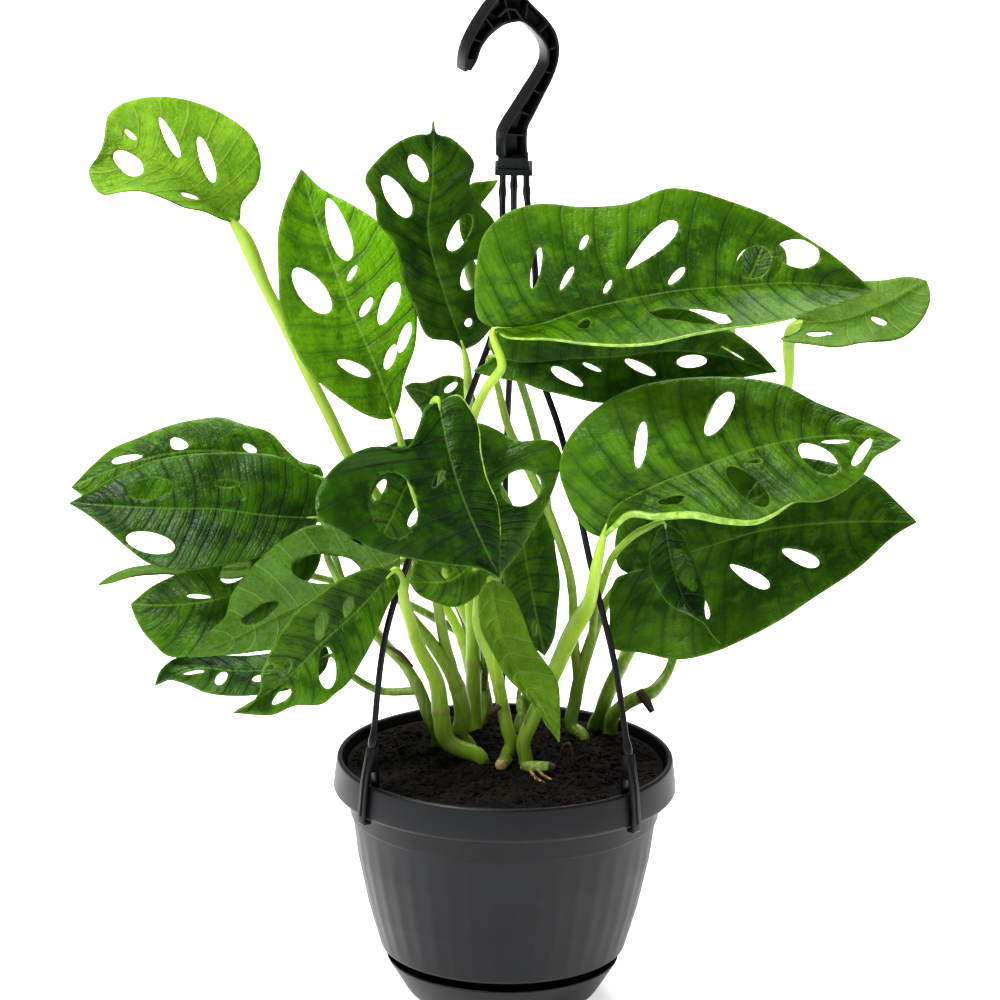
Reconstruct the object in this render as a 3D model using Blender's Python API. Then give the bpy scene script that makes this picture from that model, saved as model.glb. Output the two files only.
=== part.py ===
"""Monstera adansonii in a hanging pot, in metres, +Z up, the pot's axis on Z and the viewer on the -Y side.

Sizes are in millimetres and become metres in one place, mm(). Each leaf is drawn the way it is
seen from the front, on the upright plane through the pot's axis, and then slid along its sight
lines to its own depth, where it is turned, leant and folded.
"""
from math import cos, pi, radians, sin

import bmesh
import bpy
import numpy as np
from mathutils import Vector
from mathutils.geometry import delaunay_2d_cdt

# The pot. Radii and heights of the outside, then of the inside.
POT_SIDES = 56
SAUCER_SIDES = 48
FLUTE_DEPTH = 0.5
FLOOR_Z = 24.0
FOOT_RADIUS = 46.0
FLOOR_OUTER_RADIUS = 60.0
WALL_SLOPE = 0.21
BODY_Z = 94.0
COLLAR_RADIUS = 85.8
RIM_RADIUS = 83.3
RIM_Z = 124.0
FLOOR_TOP = 26.5
INNER_RIM_RADIUS = 81.0
DRAIN_RADIUS = 4.0
DRAIN_CIRCLE = 30.0
DRAINS = 6

# The saucer that the pot's foot stands in.
SAUCER_BASE = 43.0
SAUCER_TOP = 58.4
SAUCER_Z = 19.6
SAUCER_FLOOR = 3.6

# The soil.
SOIL_SIDES = 36
SOIL_EDGE_RADIUS = 79.0
SOIL_EDGE_Z = 119.3
SOIL_Z = 121.5
HOLE_FLOOR_Z = 101.0
FOOT_GAP = 0.4

# The hook, a channel that opens toward the viewer, and its three rods.
HOOK_HALF_DEPTH = 5.0
HOOK_WALL = 1.2
HOOK_SIDE_STEP = 4.3
ROD_RADIUS = 1.6
SOCKET_Z = (423.0, 426.0, 431.4)
SOCKET_DEPTH = 5.0
STATIONS = 25

# The rim clips: the angle round the pot of each, and their shape across the rim.
CLIP_ANGLES = {"left": 216.5, "right": 318.0, "back": 92.0}
CLIP_WIDTH = 5.0
CLIP_TOP_Z = 143.5
CLIP_FACE_RADIUS = 86.25

# The blades.
BLADE_THICKNESS = 0.8
STALK_GAP = 1.1
CLOSE_STALK_GAP = 0.8
CLOSE_STALKS = ("leaf_left_back", "leaf_back_left", "leaf_pale_top_left")
STALK_TAPER = 6.0
STALK_END = 0.9

# Where the photo was taken from, and so where the sight lines of the drawings meet.
EYE = np.array([-4.0, -2879.0, 1099.0])

COLOURS = {
    "pot": (0.035, 0.038, 0.042),
    "soil": (0.018, 0.012, 0.008),
    "shoot": (0.16, 0.24, 0.04),
    "leaf": (0.05, 0.15, 0.02),
    "pale": (0.42, 0.48, 0.14),
}

# Stations along the front of the hook from its tip to the socket: x and z of its outer edge and of
# its inner edge. The back of the channel stands HOOK_SIDE_STEP further left.
HOOK = [(-23.9, 473.2, -20.5, 474.3), (-23.7, 479.2, -18.1, 478.4), (-22.1, 486.1, -15.8, 485.2),
        (-19.3, 492.5, -13, 489.6), (-14.5, 500.9, -9.1, 493.6), (-9.6, 507.8, -4.8, 496.6),
        (-4.1, 512.8, -0.5, 497.9), (2.7, 511.9, 3.3, 498.2), (9.5, 505.6, 6.7, 496.3),
        (15.8, 499.4, 10.2, 492.9), (19.8, 493.5, 13.6, 489), (21.7, 486.2, 15.7, 484.1),
        (21.2, 478.8, 15.6, 478.2), (18.7, 470.9, 12.9, 472.3), (14, 460.9, 8.1, 464.3),
        (9.8, 451.9, 2.7, 455.3), (7, 445.5, -2.7, 446.3), (6.7, 441, -4.5, 441.8),
        (6.9, 434.5, -4.5, 434.4), (7.1, 430, -4.4, 430)]

# Each rod as seen from the front, with its depth, from the socket down to the clip on the rim.
RODS = {
    "left": [(-5, 406, -6), (-9, 342, -14), (-17, 318, -17), (-39, 254, -26), (-60, 187, -38)],
    "right": [(6.6, 406, -6), (11, 379, -9), (16, 318, -17), (23, 298, -20), (43, 216, -33),
              (54, 172, -42)],
    "back": [(0.5, 406, 8), (1, 360, 22), (-1, 300, 40), (-2, 220, 62), (-2, 172, 74)],
}

# Every leaf as seen from the front, in millimetres: its rib from the leaf stalk to the tip, and
# its left and right margins the same way. Depth is how far its base lies behind the pot's axis.
# Turn and lean are the slopes of the blade across and up, lift how far each margin lies behind
# the rib's plane, and bow the same for the rib's middle. A hole has its place, length, width,
# angle and taper, the share by which its far end is wider than its middle.
LEAVES = {
    "leaf_pale_top_left": {
        "depth": 20, "turn": 0.15, "lean": 0.25, "lift": (6, -22), "bow": -8,
        "rib": [(-137, 396), (-162, 419), (-181, 431), (-198, 443)],
        "left": [(-134, 396), (-132, 405), (-124, 416), (-123, 429), (-128, 440), (-138, 448),
                 (-153, 455), (-169, 458), (-181, 457), (-192, 453), (-197, 448)],
        "right": [(-141, 397), (-150, 401), (-160, 403), (-169, 407), (-183, 411), (-192, 410),
                  (-200, 409), (-205, 415), (-206, 422), (-203, 426), (-199, 435)],
        "holes": [(-167, 438, 22.2, 4.9, 116, -0.2), (-149, 427, 24.2, 6.4, 108, -0.1),
                  (-186, 439, 7.4, 2.5, 137, 0), (-187, 425, 16.8, 9.9, -38, 0.1),
                  (-157, 409, 8.9, 2.5, -20, 0)],
    },
    "leaf_upright_left": {
        "depth": 0, "turn": -0.1, "lean": 0.2, "lift": (-14, 10), "bow": -6,
        "rib": [(-57, 298), (-66, 324), (-77, 349), (-86, 372), (-96, 399), (-103, 423)],
        "left": [(-62, 297), (-70, 299), (-83, 307), (-97, 319), (-107, 335), (-113, 354),
                 (-114, 372), (-114, 392), (-110, 408)],
        "right": [(-55, 303), (-52, 319), (-47, 334), (-46, 348), (-48, 368), (-54, 384),
                  (-63, 395), (-79, 406), (-94, 414)],
        "holes": [(-85, 393, 32.6, 9.9, 108, -0.25), (-98, 362, 27.7, 12.8, 128, -0.1),
                  (-71, 354, 10.9, 4, 60, 0), (-60, 356, 23.2, 7.9, 68, 0.1),
                  (-52, 339, 16.3, 5.4, 70, 0), (-59, 329, 13.3, 4.9, 70, 0),
                  (-77, 323, 17.8, 5.9, -24, 0.1), (-78, 371, 8.9, 2.5, 60, 0)],
    },
    "leaf_dark_top": {
        "depth": 15, "turn": 0.1, "lean": 0.15, "lift": (-10, 12), "bow": -5,
        "rib": [(-23, 333), (-25, 339), (-33, 362), (-41, 393), (-39, 419), (-39, 433),
                (-39, 448)],
        "left": [(-28, 337), (-40, 339), (-47, 353), (-53, 368), (-57, 386), (-66, 398),
                 (-67, 408), (-72, 418), (-65, 429), (-56, 437), (-45, 441), (-41, 441)],
        "right": [(-17, 336), (-9, 346), (-4, 364), (-4, 381), (-10, 400), (-17, 408),
                  (-21, 416), (-19, 427), (-25, 435), (-32, 440), (-37, 441)],
        "holes": [(-46, 424, 15.8, 8.4, 125, 0), (-57, 410, 24.2, 9.9, 122, -0.1),
                  (-26, 392, 20.2, 8.9, 62, 0), (-20, 371, 16.3, 9.4, 65, 0),
                  (-21, 347, 4.4, 3.5, 60, 0)],
    },
    "leaf_tip_behind_top": {
        "depth": 38, "turn": 0, "lean": 0.2, "lift": (0, 0), "bow": 0,
        "rib": [(-21, 383), (-20, 396), (-17, 406), (-13, 414), (-7, 419)],
        "left": [(-24, 388), (-26, 401), (-24, 411), (-20, 417), (-14, 418)],
        "right": [(-19, 386), (-17, 396), (-15, 407), (-12, 411), (-9, 415)],
        "holes": [],
    },
    "leaf_broad_top_right": {
        "depth": -46, "turn": 0.02, "lean": 0.12, "lift": (8, -34), "bow": -12,
        "rib": [(-8, 344), (12, 346), (35, 354), (59, 360), (79, 364), (109, 367), (140, 369),
                (177, 365)],
        "left": [(-15, 348), (-18, 364), (-17, 378), (-14, 391), (-5, 401), (11, 407),
                 (34, 406), (56, 408), (77, 416), (88, 415), (105, 410), (124, 403),
                 (142, 393), (157, 383), (169, 373)],
        "right": [(-3, 340), (5, 339), (17, 339), (35, 337), (53, 336), (68, 337), (89, 342),
                  (104, 345), (125, 348), (144, 353), (162, 359)],
        "holes": [(12, 375, 20.7, 4.4, 80, 0), (27, 370, 12.8, 3, 62, 0.2),
                  (35, 388, 7.9, 3, 65, 0), (47, 366, 7.4, 2.5, 62, 0),
                  (68, 387, 33.6, 8.9, 45, 0.5), (81, 371, 11.9, 4.4, 58, 0.1),
                  (118, 379, 17.8, 15.8, 35, 0), (139, 385, 21.7, 16.3, -10, 0.1),
                  (88, 351, 41.5, 6.9, -4, 0.2), (36, 346, 6.9, 4, 25, 0)],
    },
    "leaf_far_right": {
        "depth": 46, "turn": -0.1, "lean": 0.3, "lift": (8, -14), "bow": -6,
        "rib": [(143, 349), (161, 350), (181, 358), (203, 371)],
        "left": [(136, 354), (139, 362), (148, 368), (165, 370), (182, 371), (195, 373)],
        "right": [(140, 344), (132, 341), (148, 338), (161, 337), (170, 339), (193, 343),
                  (202, 353), (205, 363)],
        "holes": [(180, 351, 8.4, 3, -22, 0), (151, 344, 12.8, 2.5, 2, 0)],
    },
    "leaf_behind_right": {
        "depth": 62, "turn": 0, "lean": 0.2, "lift": (6, -6), "bow": -3,
        "rib": [(109, 348), (114, 365), (121, 383), (124, 391)],
        "left": [(103, 357), (106, 370), (112, 383), (119, 390)],
        "right": [(117, 352), (129, 363), (134, 376), (133, 386), (128, 390)],
        "holes": [(125, 369, 8.9, 4, 60, 0)],
    },
    "leaf_back_right": {
        "depth": 58, "turn": -0.05, "lean": 0.2, "lift": (8, -8), "bow": -4,
        "rib": [(77, 227), (95, 242), (119, 258), (144, 269)],
        "left": [(73, 234), (77, 250), (94, 266), (116, 274), (134, 273)],
        "right": [(81, 221), (100, 224), (122, 238), (139, 256)],
        "holes": [(97, 255, 14.8, 4.9, 40, 0), (112, 243, 13.8, 4.9, 40, 0)],
    },
    "leaf_back_left": {
        "depth": 90, "turn": 0, "lean": 0.2, "lift": (8, -8), "bow": -4,
        "rib": [(-94, 245), (-115, 247), (-138, 250), (-162, 252)],
        "left": [(-94, 255), (-108, 266), (-130, 270), (-152, 264)],
        "right": [(-98, 236), (-118, 228), (-140, 232), (-157, 242)],
        "holes": [(-123, 260, 13.8, 4.4, -20, 0), (-135, 239, 12.8, 4.4, 20, 0)],
    },
    "leaf_back_centre": {
        "depth": 42, "turn": 0, "lean": 0, "lift": (2, -2), "bow": -1,
        "rib": [(-39, 282), (-49, 266), (-58, 246), (-67, 227)],
        "left": [(-45, 287), (-61, 283), (-73, 266), (-76, 245), (-72, 232)],
        "right": [(-34, 276), (-34, 256), (-41, 235), (-56, 225)],
        "holes": [(-64, 261, 12.8, 4.4, 60, 0), (-46, 248, 12.8, 4.4, 60, 0)],
    },
    "leaf_under_broad": {
        "depth": -26, "turn": 0, "lean": 0.15, "lift": (3, -4), "bow": -2,
        "rib": [(-8, 330), (8, 327), (27, 329), (54, 331), (77, 334), (103, 332), (131, 324)],
        "left": [(-11, 336), (-3, 346), (24, 355), (53, 358), (83, 356), (107, 345), (122, 334)],
        "right": [(-13, 326), (-18, 323), (-6, 319), (5, 317), (16, 313), (25, 311), (44, 307),
                  (69, 311), (93, 316), (115, 321)],
        "holes": [(28, 320, 17.8, 5.4, -30, -0.2), (40, 325, 9.9, 2.2, -25, 0),
                  (64, 326, 16.8, 4.9, -32, 0), (89, 329, 14.8, 6.9, 5, 0),
                  (108, 331, 14.8, 2.2, -48, 0)],
    },
    "leaf_middle_right": {
        "depth": -56, "turn": -0.04, "lean": 0.12, "lift": (12, -18), "bow": -12,
        "rib": [(47, 238), (51, 251), (72, 265), (91, 273), (113, 282), (133, 288), (163, 292),
                (193, 290)],
        "left": [(41, 240), (33, 250), (28, 261), (25, 271), (27, 284), (35, 297), (46, 307),
                 (61, 315), (77, 319), (102, 321), (121, 320), (135, 317), (150, 309),
                 (165, 303), (182, 296)],
        "right": [(51, 242), (60, 250), (72, 249), (91, 250), (107, 247), (124, 247),
                  (132, 251), (141, 257), (154, 258), (166, 264), (174, 271), (181, 282),
                  (188, 286)],
        "holes": [(65, 286, 23.7, 5.9, 84, 0), (103, 302, 24.7, 9.9, 62, 0.1),
                  (81, 257, 13.8, 4.4, 10, 0), (118, 265, 28.6, 10.9, -43, 0.1),
                  (121, 278, 6.9, 2.5, 0, 0), (152, 280, 23.7, 11.9, -38, 0.1),
                  (173, 285, 18.8, 6.9, 68, 0), (160, 290, 14.8, 4, -6, 0)],
    },
    "leaf_low_right": {
        "depth": 16, "turn": -0.08, "lean": 0.15, "lift": (16, -8), "bow": -8,
        "rib": [(61, 219), (77, 226), (102, 235), (127, 243), (147, 246), (173, 248), (202, 248)],
        "left": [(56, 222), (53, 234), (58, 252), (75, 268), (99, 276), (124, 280), (148, 280),
                 (166, 276), (179, 270), (192, 258)],
        "right": [(55, 218), (51, 208), (51, 195), (51, 182), (69, 178), (84, 175), (103, 179),
                  (118, 186), (137, 197), (152, 208), (174, 224), (194, 243)],
        "holes": [(145, 229, 19.8, 6.9, -22, 0.3), (120, 219, 22.7, 6.4, -30, 0.4),
                  (98, 202, 11.9, 4.4, 110, 0), (90, 258, 19.8, 6.9, 60, 0),
                  (124, 264, 17.8, 5.9, 50, 0)],
    },
    "leaf_curly_hanging": {
        "depth": -26, "turn": 0.05, "lean": 0.3, "lift": (-10, 12), "bow": 6,
        "rib": [(77, 246), (81, 227), (88, 206), (106, 184)],
        "left": [(74, 242), (70, 227), (74, 212), (81, 203), (91, 198), (98, 194), (102, 188)],
        "right": [(85, 241), (90, 232), (95, 219), (98, 209), (98, 200), (100, 193)],
        "holes": [(87, 221, 22.7, 7.9, -68, 0)],
    },
    "leaf_left_back": {
        "depth": 64, "turn": 0.05, "lean": 0.2, "lift": (8, -4), "bow": -4,
        "rib": [(-91, 266), (-115, 275), (-147, 280), (-177, 276), (-197, 269), (-216, 260)],
        "left": [(-93, 272), (-103, 275), (-110, 281), (-117, 289), (-132, 294), (-141, 297),
                 (-153, 296), (-169, 292), (-183, 286), (-196, 280), (-206, 271)],
        "right": [(-94, 259), (-108, 253), (-138, 252), (-167, 252), (-192, 251), (-207, 254)],
        "holes": [(-188, 273, 15.3, 7.4, 0, 0), (-163, 281, 11.9, 7.4, 118, -0.3),
                  (-128, 281, 7.4, 4.4, -30, 0)],
    },
    "leaf_left_front": {
        "depth": 20, "turn": -0.05, "lean": 0.22, "lift": (6, -12), "bow": -8,
        "rib": [(-94, 246), (-118, 247), (-145, 250), (-172, 250), (-197, 251), (-217, 252)],
        "left": [(-92, 255), (-95, 267), (-102, 271), (-112, 277), (-125, 279), (-141, 279),
                 (-157, 278), (-176, 274), (-190, 268), (-204, 260)],
        "right": [(-96, 240), (-108, 232), (-128, 224), (-147, 220), (-166, 218), (-177, 221),
                  (-188, 229), (-199, 239), (-209, 247)],
        "holes": [(-177, 260, 22.2, 10.9, 10, 0), (-139, 263, 11.9, 3.5, 0, 0),
                  (-177, 232, 24.7, 10.9, -12, 0), (-133, 259, 7.9, 2.2, -65, 0)],
    },
    "leaf_edge_on_left": {
        "depth": 66, "turn": 0, "lean": 0.3, "lift": (20, -20), "bow": -2,
        "rib": [(-125, 220), (-150, 218), (-172, 218), (-190, 216), (-203, 210)],
        "left": [(-128, 223), (-152, 221), (-172, 221), (-190, 218), (-198, 214)],
        "right": [(-128, 217), (-152, 215), (-172, 216), (-188, 214), (-197, 211)],
        "holes": [],
    },
    "leaf_low_left": {
        "depth": 32, "turn": -0.02, "lean": 0.15, "lift": (8, -8), "bow": -5,
        "rib": [(-92, 232), (-115, 216), (-145, 203), (-166, 200), (-187, 200)],
        "left": [(-91, 239), (-98, 242), (-106, 244), (-118, 243), (-128, 239), (-138, 234),
                 (-147, 225), (-158, 219), (-166, 215), (-177, 209)],
        "right": [(-93, 224), (-108, 203), (-128, 185), (-154, 174), (-170, 174), (-175, 179),
                  (-181, 186), (-185, 194)],
        "holes": [(-153, 204, 11.9, 2.5, -8, -0.2), (-135, 218, 16.8, 9.9, 35, 0)],
    },
    "leaf_curly_pale": {
        "depth": -16, "turn": -0.05, "lean": 0.35, "lift": (14, -18), "bow": -10,
        "rib": [(-53, 225), (-78, 212), (-108, 198), (-135, 183), (-158, 173)],
        "left": [(-57, 233), (-71, 238), (-86, 242), (-98, 242), (-108, 237), (-118, 229),
                 (-130, 216), (-137, 205), (-140, 194), (-148, 186), (-152, 178)],
        "right": [(-54, 217), (-63, 201), (-78, 187), (-98, 178), (-121, 177), (-134, 175),
                  (-147, 174)],
        "holes": [(-90, 219, 34.6, 17.8, -4, 0), (-121, 192, 21.7, 15.8, 10, 0)],
    },
    "leaf_low_left_dark": {
        "depth": 18, "turn": -0.05, "lean": 0.3, "lift": (8, -10), "bow": -5,
        "rib": [(-88, 175), (-108, 168), (-133, 166), (-155, 167), (-175, 158)],
        "left": [(-90, 180), (-108, 177), (-130, 174), (-150, 174), (-163, 173), (-172, 166)],
        "right": [(-90, 168), (-105, 158), (-122, 154), (-136, 153), (-151, 155), (-160, 159),
                  (-169, 161)],
        "holes": [(-156, 166, 10.9, 4.4, 15, 0), (-142, 162, 8.9, 4.9, 60, 0),
                  (-122, 162, 8.9, 4, 10, 0)],
    },
    "leaf_bottom_hanging": {
        "depth": -54, "turn": 0.1, "lean": 0.4, "lift": (-12, 2), "bow": -8,
        "rib": [(-57, 219), (-72, 201), (-93, 180), (-110, 162), (-136, 144)],
        "left": [(-61, 221), (-78, 217), (-94, 206), (-106, 196), (-110, 190), (-116, 179),
                 (-122, 165), (-123, 155), (-127, 149)],
        "right": [(-54, 216), (-60, 199), (-65, 186), (-72, 172), (-80, 159), (-86, 154),
                  (-90, 150), (-106, 148), (-117, 143), (-123, 143)],
        "holes": [(-112, 153, 11.9, 4.9, 42, 0.4), (-110, 166, 12.8, 5.4, 75, 0),
                  (-91, 170, 25.7, 9.4, 102, -0.1), (-78, 198, 13.8, 5.9, 105, 0),
                  (-93, 190, 14.8, 5.4, 80, 0), (-119, 168, 6.4, 4.4, 45, 0)],
    },
    "leaf_centre_front": {
        "depth": -58, "turn": 0.05, "lean": 0.3, "lift": (-14, 6), "bow": -8,
        "rib": [(-35, 306), (-30, 282), (-22, 256), (-12, 233), (-4, 216)],
        "left": [(-40, 305), (-45, 293), (-50, 283), (-68, 283), (-81, 277), (-90, 268),
                 (-95, 258), (-94, 246), (-85, 240), (-72, 232), (-50, 226), (-31, 223),
                 (-11, 220)],
        "right": [(-30, 309), (-26, 310), (-20, 304), (-15, 292), (-14, 282), (-11, 268),
                  (-6, 256), (-4, 243), (-4, 228)],
        "holes": [(-57, 253, 34.6, 23.7, 100, 0), (-35, 267, 9.9, 3, 60, 0)],
    },
    "leaf_centre_right": {
        "depth": -36, "turn": 0, "lean": 0.15, "lift": (-3, 4), "bow": -3,
        "rib": [(-23, 287), (-17, 267), (-8, 244), (-4, 218)],
        "left": [(-29, 284), (-35, 269), (-34, 250), (-25, 234), (-14, 224)],
        "right": [(-22, 295), (-15, 296), (-7, 293), (4, 287), (17, 288), (22, 287), (26, 280),
                  (24, 269), (20, 257), (12, 241), (3, 226)],
        "holes": [(6, 263, 20.7, 18.3, 30, 0)],
    },
    "leaf_low_centre": {
        "depth": -12, "turn": 0.1, "lean": 0.25, "lift": (-5, 5), "bow": -3,
        "rib": [(-2, 246), (-14, 228), (-28, 215), (-49, 214)],
        "left": [(-7, 250), (-21, 241), (-39, 231), (-47, 222)],
        "right": [(2, 241), (-1, 226), (-9, 213), (-14, 208), (-26, 201), (-35, 203), (-45, 208)],
        "holes": [(-31, 218, 7.4, 2.5, 110, 0), (-14, 224, 10.9, 4.4, 40, 0)],
    },
    "leaf_small_back": {
        "depth": 38, "turn": 0, "lean": 0.3, "lift": (6, -6), "bow": -3,
        "rib": [(-25, 285), (-29, 300), (-39, 310), (-52, 314)],
        "left": [(-31, 283), (-37, 289), (-41, 297), (-45, 304), (-49, 309)],
        "right": [(-18, 292), (-17, 308), (-24, 319), (-31, 320), (-42, 316), (-48, 316)],
        "holes": [(-29, 314, 7.9, 3.5, 40, 0)],
    },
    "leaf_young_hanging": {
        "depth": -38, "turn": 0, "lean": 0.35, "lift": (-10, 10), "bow": -6,
        "rib": [(-8, 215), (-5, 194), (4, 171), (17, 150), (27, 131)],
        "left": [(-12, 212), (-14, 199), (-12, 188), (-7, 178), (-1, 167), (8, 157), (17, 147),
                 (22, 138)],
        "right": [(-4, 214), (1, 210), (6, 201), (9, 193), (13, 182), (20, 172), (25, 164),
                  (27, 147)],
        "holes": [],
    },
    "leaf_behind_centre": {
        "depth": 27, "turn": 0, "lean": 0.12, "lift": (-1, 4), "bow": -2,
        "rib": [(6, 249), (9, 226), (14, 200), (19, 176)],
        "left": [(1, 246), (-3, 233), (-2, 215), (4, 195), (13, 181)],
        "right": [(11, 253), (18, 251), (22, 241), (24, 228), (26, 214), (25, 200), (23, 184)],
        "holes": [(14, 191, 7.9, 3, 85, 0)],
    },
}

# Every leafy stem: the main stem from its foot in the soil, then the leaf stalks that leave it. A
# point has its place in the front view, its depth and the stem's radius there.
SHOOTS = {
    "shoot_front_left": [
        [("foot", -15, -2), (-21, 126, -2, 4.5), (-28, 130, -2, 4.5), (-32, 144, -6, 4.4),
         (-35, 162, -12, 4), (-43, 179, -22, 3.4), (-50, 199, -43, 2.8),
         ("leaf", "leaf_bottom_hanging", 2.2)],
    ],
    "shoot_left": [
        [("foot", -20, 16), (-22, 132, 16, 4.3), (-21, 144, 13, 4.4), (-25, 161, 9, 4),
         (-36, 180, 4, 3.2), (-51, 202, -3, 2.6), ("leaf", "leaf_curly_pale", 2)],
        [(-23, 152, 11, 3.4), (-30, 180, 7, 3), (-34, 199, 3, 2.6), (-39, 225, 0, 2.2),
         (-43, 256, -8, 2), (-42, 287, -40, 2), ("leaf", "leaf_centre_front", 1.8)],
    ],
    "shoot_back_left": [
        [("foot", -16, 46), (-16, 143, 46, 4), (-16, 158, 45, 4), (-17, 184, 40, 3.6),
         (-18, 205, 36, 3.2), (-18, 256, 30, 2.6), (-20, 297, 24, 2.2),
         ("leaf", "leaf_dark_top", 1.8)],
        [(-17, 189, 40, 3), (-31, 220, 38, 2.4), (-45, 256, 16, 2), (-52, 279, 8, 1.9),
         ("leaf", "leaf_upright_left", 1.8)],
        [(-16, 158, 45, 3), (-22, 184, 54, 2.6), (-43, 220, 58, 2.4), (-67, 261, 54, 2.6),
         (-78, 277, 48, 2.8), (-89, 299, 41, 3), (-100, 322, 34, 3), (-118, 359, 28, 3),
         ("leaf", "leaf_pale_top_left", 2.6)],
    ],
    "shoot_far_left": [
        [("foot", -34, 20), (-34, 135, 18, 3.4), (-38, 144, 14, 3.4), (-43, 157, 14, 3.2),
         (-50, 169, 14, 2.6), (-61, 181, 18, 2.4), (-78, 204, 24, 2), (-89, 224, 24, 1.8),
         ("leaf", "leaf_left_front", 1.6)],
        [(-50, 169, 14, 2.4), (-67, 191, 34, 2), (-81, 212, 38, 1.8),
         ("leaf", "leaf_low_left", 1.6)],
        [(-43, 157, 14, 2.2), (-63, 157, 20, 2), (-80, 167, 20, 1.7),
         ("leaf", "leaf_low_left_dark", 1.5)],
    ],
    "shoot_centre": [
        [("foot", 1, 0), (3, 129, 0, 3.4), (1, 138, -1, 3.4), (-2, 153, -3, 3.2),
         (-7, 171, -6, 3), (-11, 186, -8, 2.8), (-14, 205, -8, 2.4), (-15, 231, -6, 2),
         (-17, 256, -14, 1.8), (-20, 274, -24, 1.7), ("leaf", "leaf_centre_right", 1.6)],
        [(-1, 146, -2, 2.6), (-3, 163, -14, 2.2), (-6, 184, -28, 1.9), (-8, 199, -27, 1.8),
         ("leaf", "leaf_young_hanging", 1.6)],
        [(-7, 171, -6, 2.4), (-14, 189, 2, 2.2), (-12, 226, 6, 2), (-11, 267, 0, 2.2),
         (-18, 297, -30, 2.3), (-11, 315, -46, 2.3), (-4, 325, -52, 2.3),
         ("leaf", "leaf_broad_top_right", 2)],
    ],
    "shoot_middle_right": [
        [("foot", 10, -5), (9, 129, -5, 3.6), (13, 141, -5, 3.8), (23, 166, -10, 4),
         (32, 187, -18, 4.4), (37, 197, -28, 4.4), (41, 206, -42, 3.4), (44, 221, -52, 3),
         ("leaf", "leaf_middle_right", 2.6)],
    ],
    "shoot_right": [
        [("foot", 37, 36), (34, 138, 38, 3.4), (35, 154, 40, 3.4), (38, 171, 36, 3.2),
         (42, 185, 32, 3), (47, 199, 28, 2.6), (52, 209, 22, 2.3), ("leaf", "leaf_low_right", 2)],
        [(36, 158, 40, 2.6), (34, 182, 32, 2.4), (29, 226, 12, 2.2), (10, 272, 2, 2.2),
         (-2, 298, -8, 2), (-6, 314, -13, 1.8), ("leaf", "leaf_under_broad", 1.6)],
        [(42, 185, 32, 2.2), (46, 211, 6, 2), (56, 233, -18, 1.8), (68, 243, -26, 1.7),
         ("leaf", "leaf_curly_hanging", 1.5)],
    ],
    "shoot_back_right": [
        [("foot", 46, 52), (47, 145, 50, 3.8), (50, 154, 46, 3.8), (55, 167, 46, 3.6),
         (61, 179, 46, 3), (73, 201, 64, 2.6), (95, 230, 84, 2.4), (126, 284, 76, 2.4),
         (136, 316, 58, 2.4), ("leaf", "leaf_far_right", 2.2)],
        [(55, 167, 46, 2.6), (68, 206, 72, 2.4), (81, 263, 92, 2.2), (101, 314, 78, 2),
         ("leaf", "leaf_behind_right", 1.8)],
    ],
    "shoot_low_right": [
        [("foot", 53, 44), (53, 144, 40, 3.6), (58, 150, 34, 3.6), (66, 155, 28, 3.6),
         (73, 158, 22, 3.4), (79, 166, 28, 2.6), (84, 180, 36, 2.2), (83, 206, 54, 2),
         ("leaf", "leaf_back_right", 1.8)],
    ],
    "shoot_back": [
        [("foot", 8, 48), (9, 144, 50, 3.8), (12, 158, 52, 3.6), (12, 184, 50, 3.2),
         (11, 205, 46, 2.8), (3, 246, 42, 2.4), (-9, 269, 38, 2.2),
         ("leaf", "leaf_small_back", 1.8)],
        [(12, 184, 50, 2.6), (14, 210, 42, 2.2), (9, 236, 46, 2),
         ("leaf", "leaf_behind_centre", 1.6)],
        [(11, 205, 46, 2.2), (-4, 226, 42, 2), (-24, 256, 58, 2), (-32, 274, 60, 1.9),
         ("leaf", "leaf_back_centre", 1.7)],
        [(12, 174, 50, 2.4), (19, 205, 70, 2.4), (15, 283, 74, 2.2), (-5, 343, 56, 1.8),
         ("leaf", "leaf_tip_behind_top", 1.6)],
    ],
    "shoot_far_back": [
        [("foot", -12, 60), (-10, 148, 61, 3.4), (-11, 158, 64, 3.4), (-17, 184, 70, 3.2),
         (-28, 210, 80, 2.8), (-48, 233, 84, 2.4), (-68, 256, 66, 2),
         ("leaf", "leaf_left_back", 1.6)],
        [(-17, 184, 70, 2.4), (-53, 204, 82, 2), (-88, 214, 78, 1.8),
         ("leaf", "leaf_edge_on_left", 1.5)],
        [(-28, 210, 80, 2.2), (-53, 225, 90, 2), (-78, 238, 88, 1.8),
         ("leaf", "leaf_back_left", 1.6)],
        [(-11, 158, 64, 2.4), (-10, 176, 36, 2), (-8, 202, 6, 2), (-2, 228, 12, 1.8),
         ("leaf", "leaf_low_centre", 1.5)],
    ],
}


def mm(value):
    return value * 0.001


def seen(x, z, depth):
    """The point at this depth on the sight line through (x, z) of the upright plane at the axis."""
    x, z, depth = np.broadcast_arrays(np.asarray(x, float), z, depth)
    flat = np.stack([x, np.zeros(x.shape), z], -1)
    return EYE + (flat - EYE) * (1.0 - depth / EYE[1])[..., None]


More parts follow.
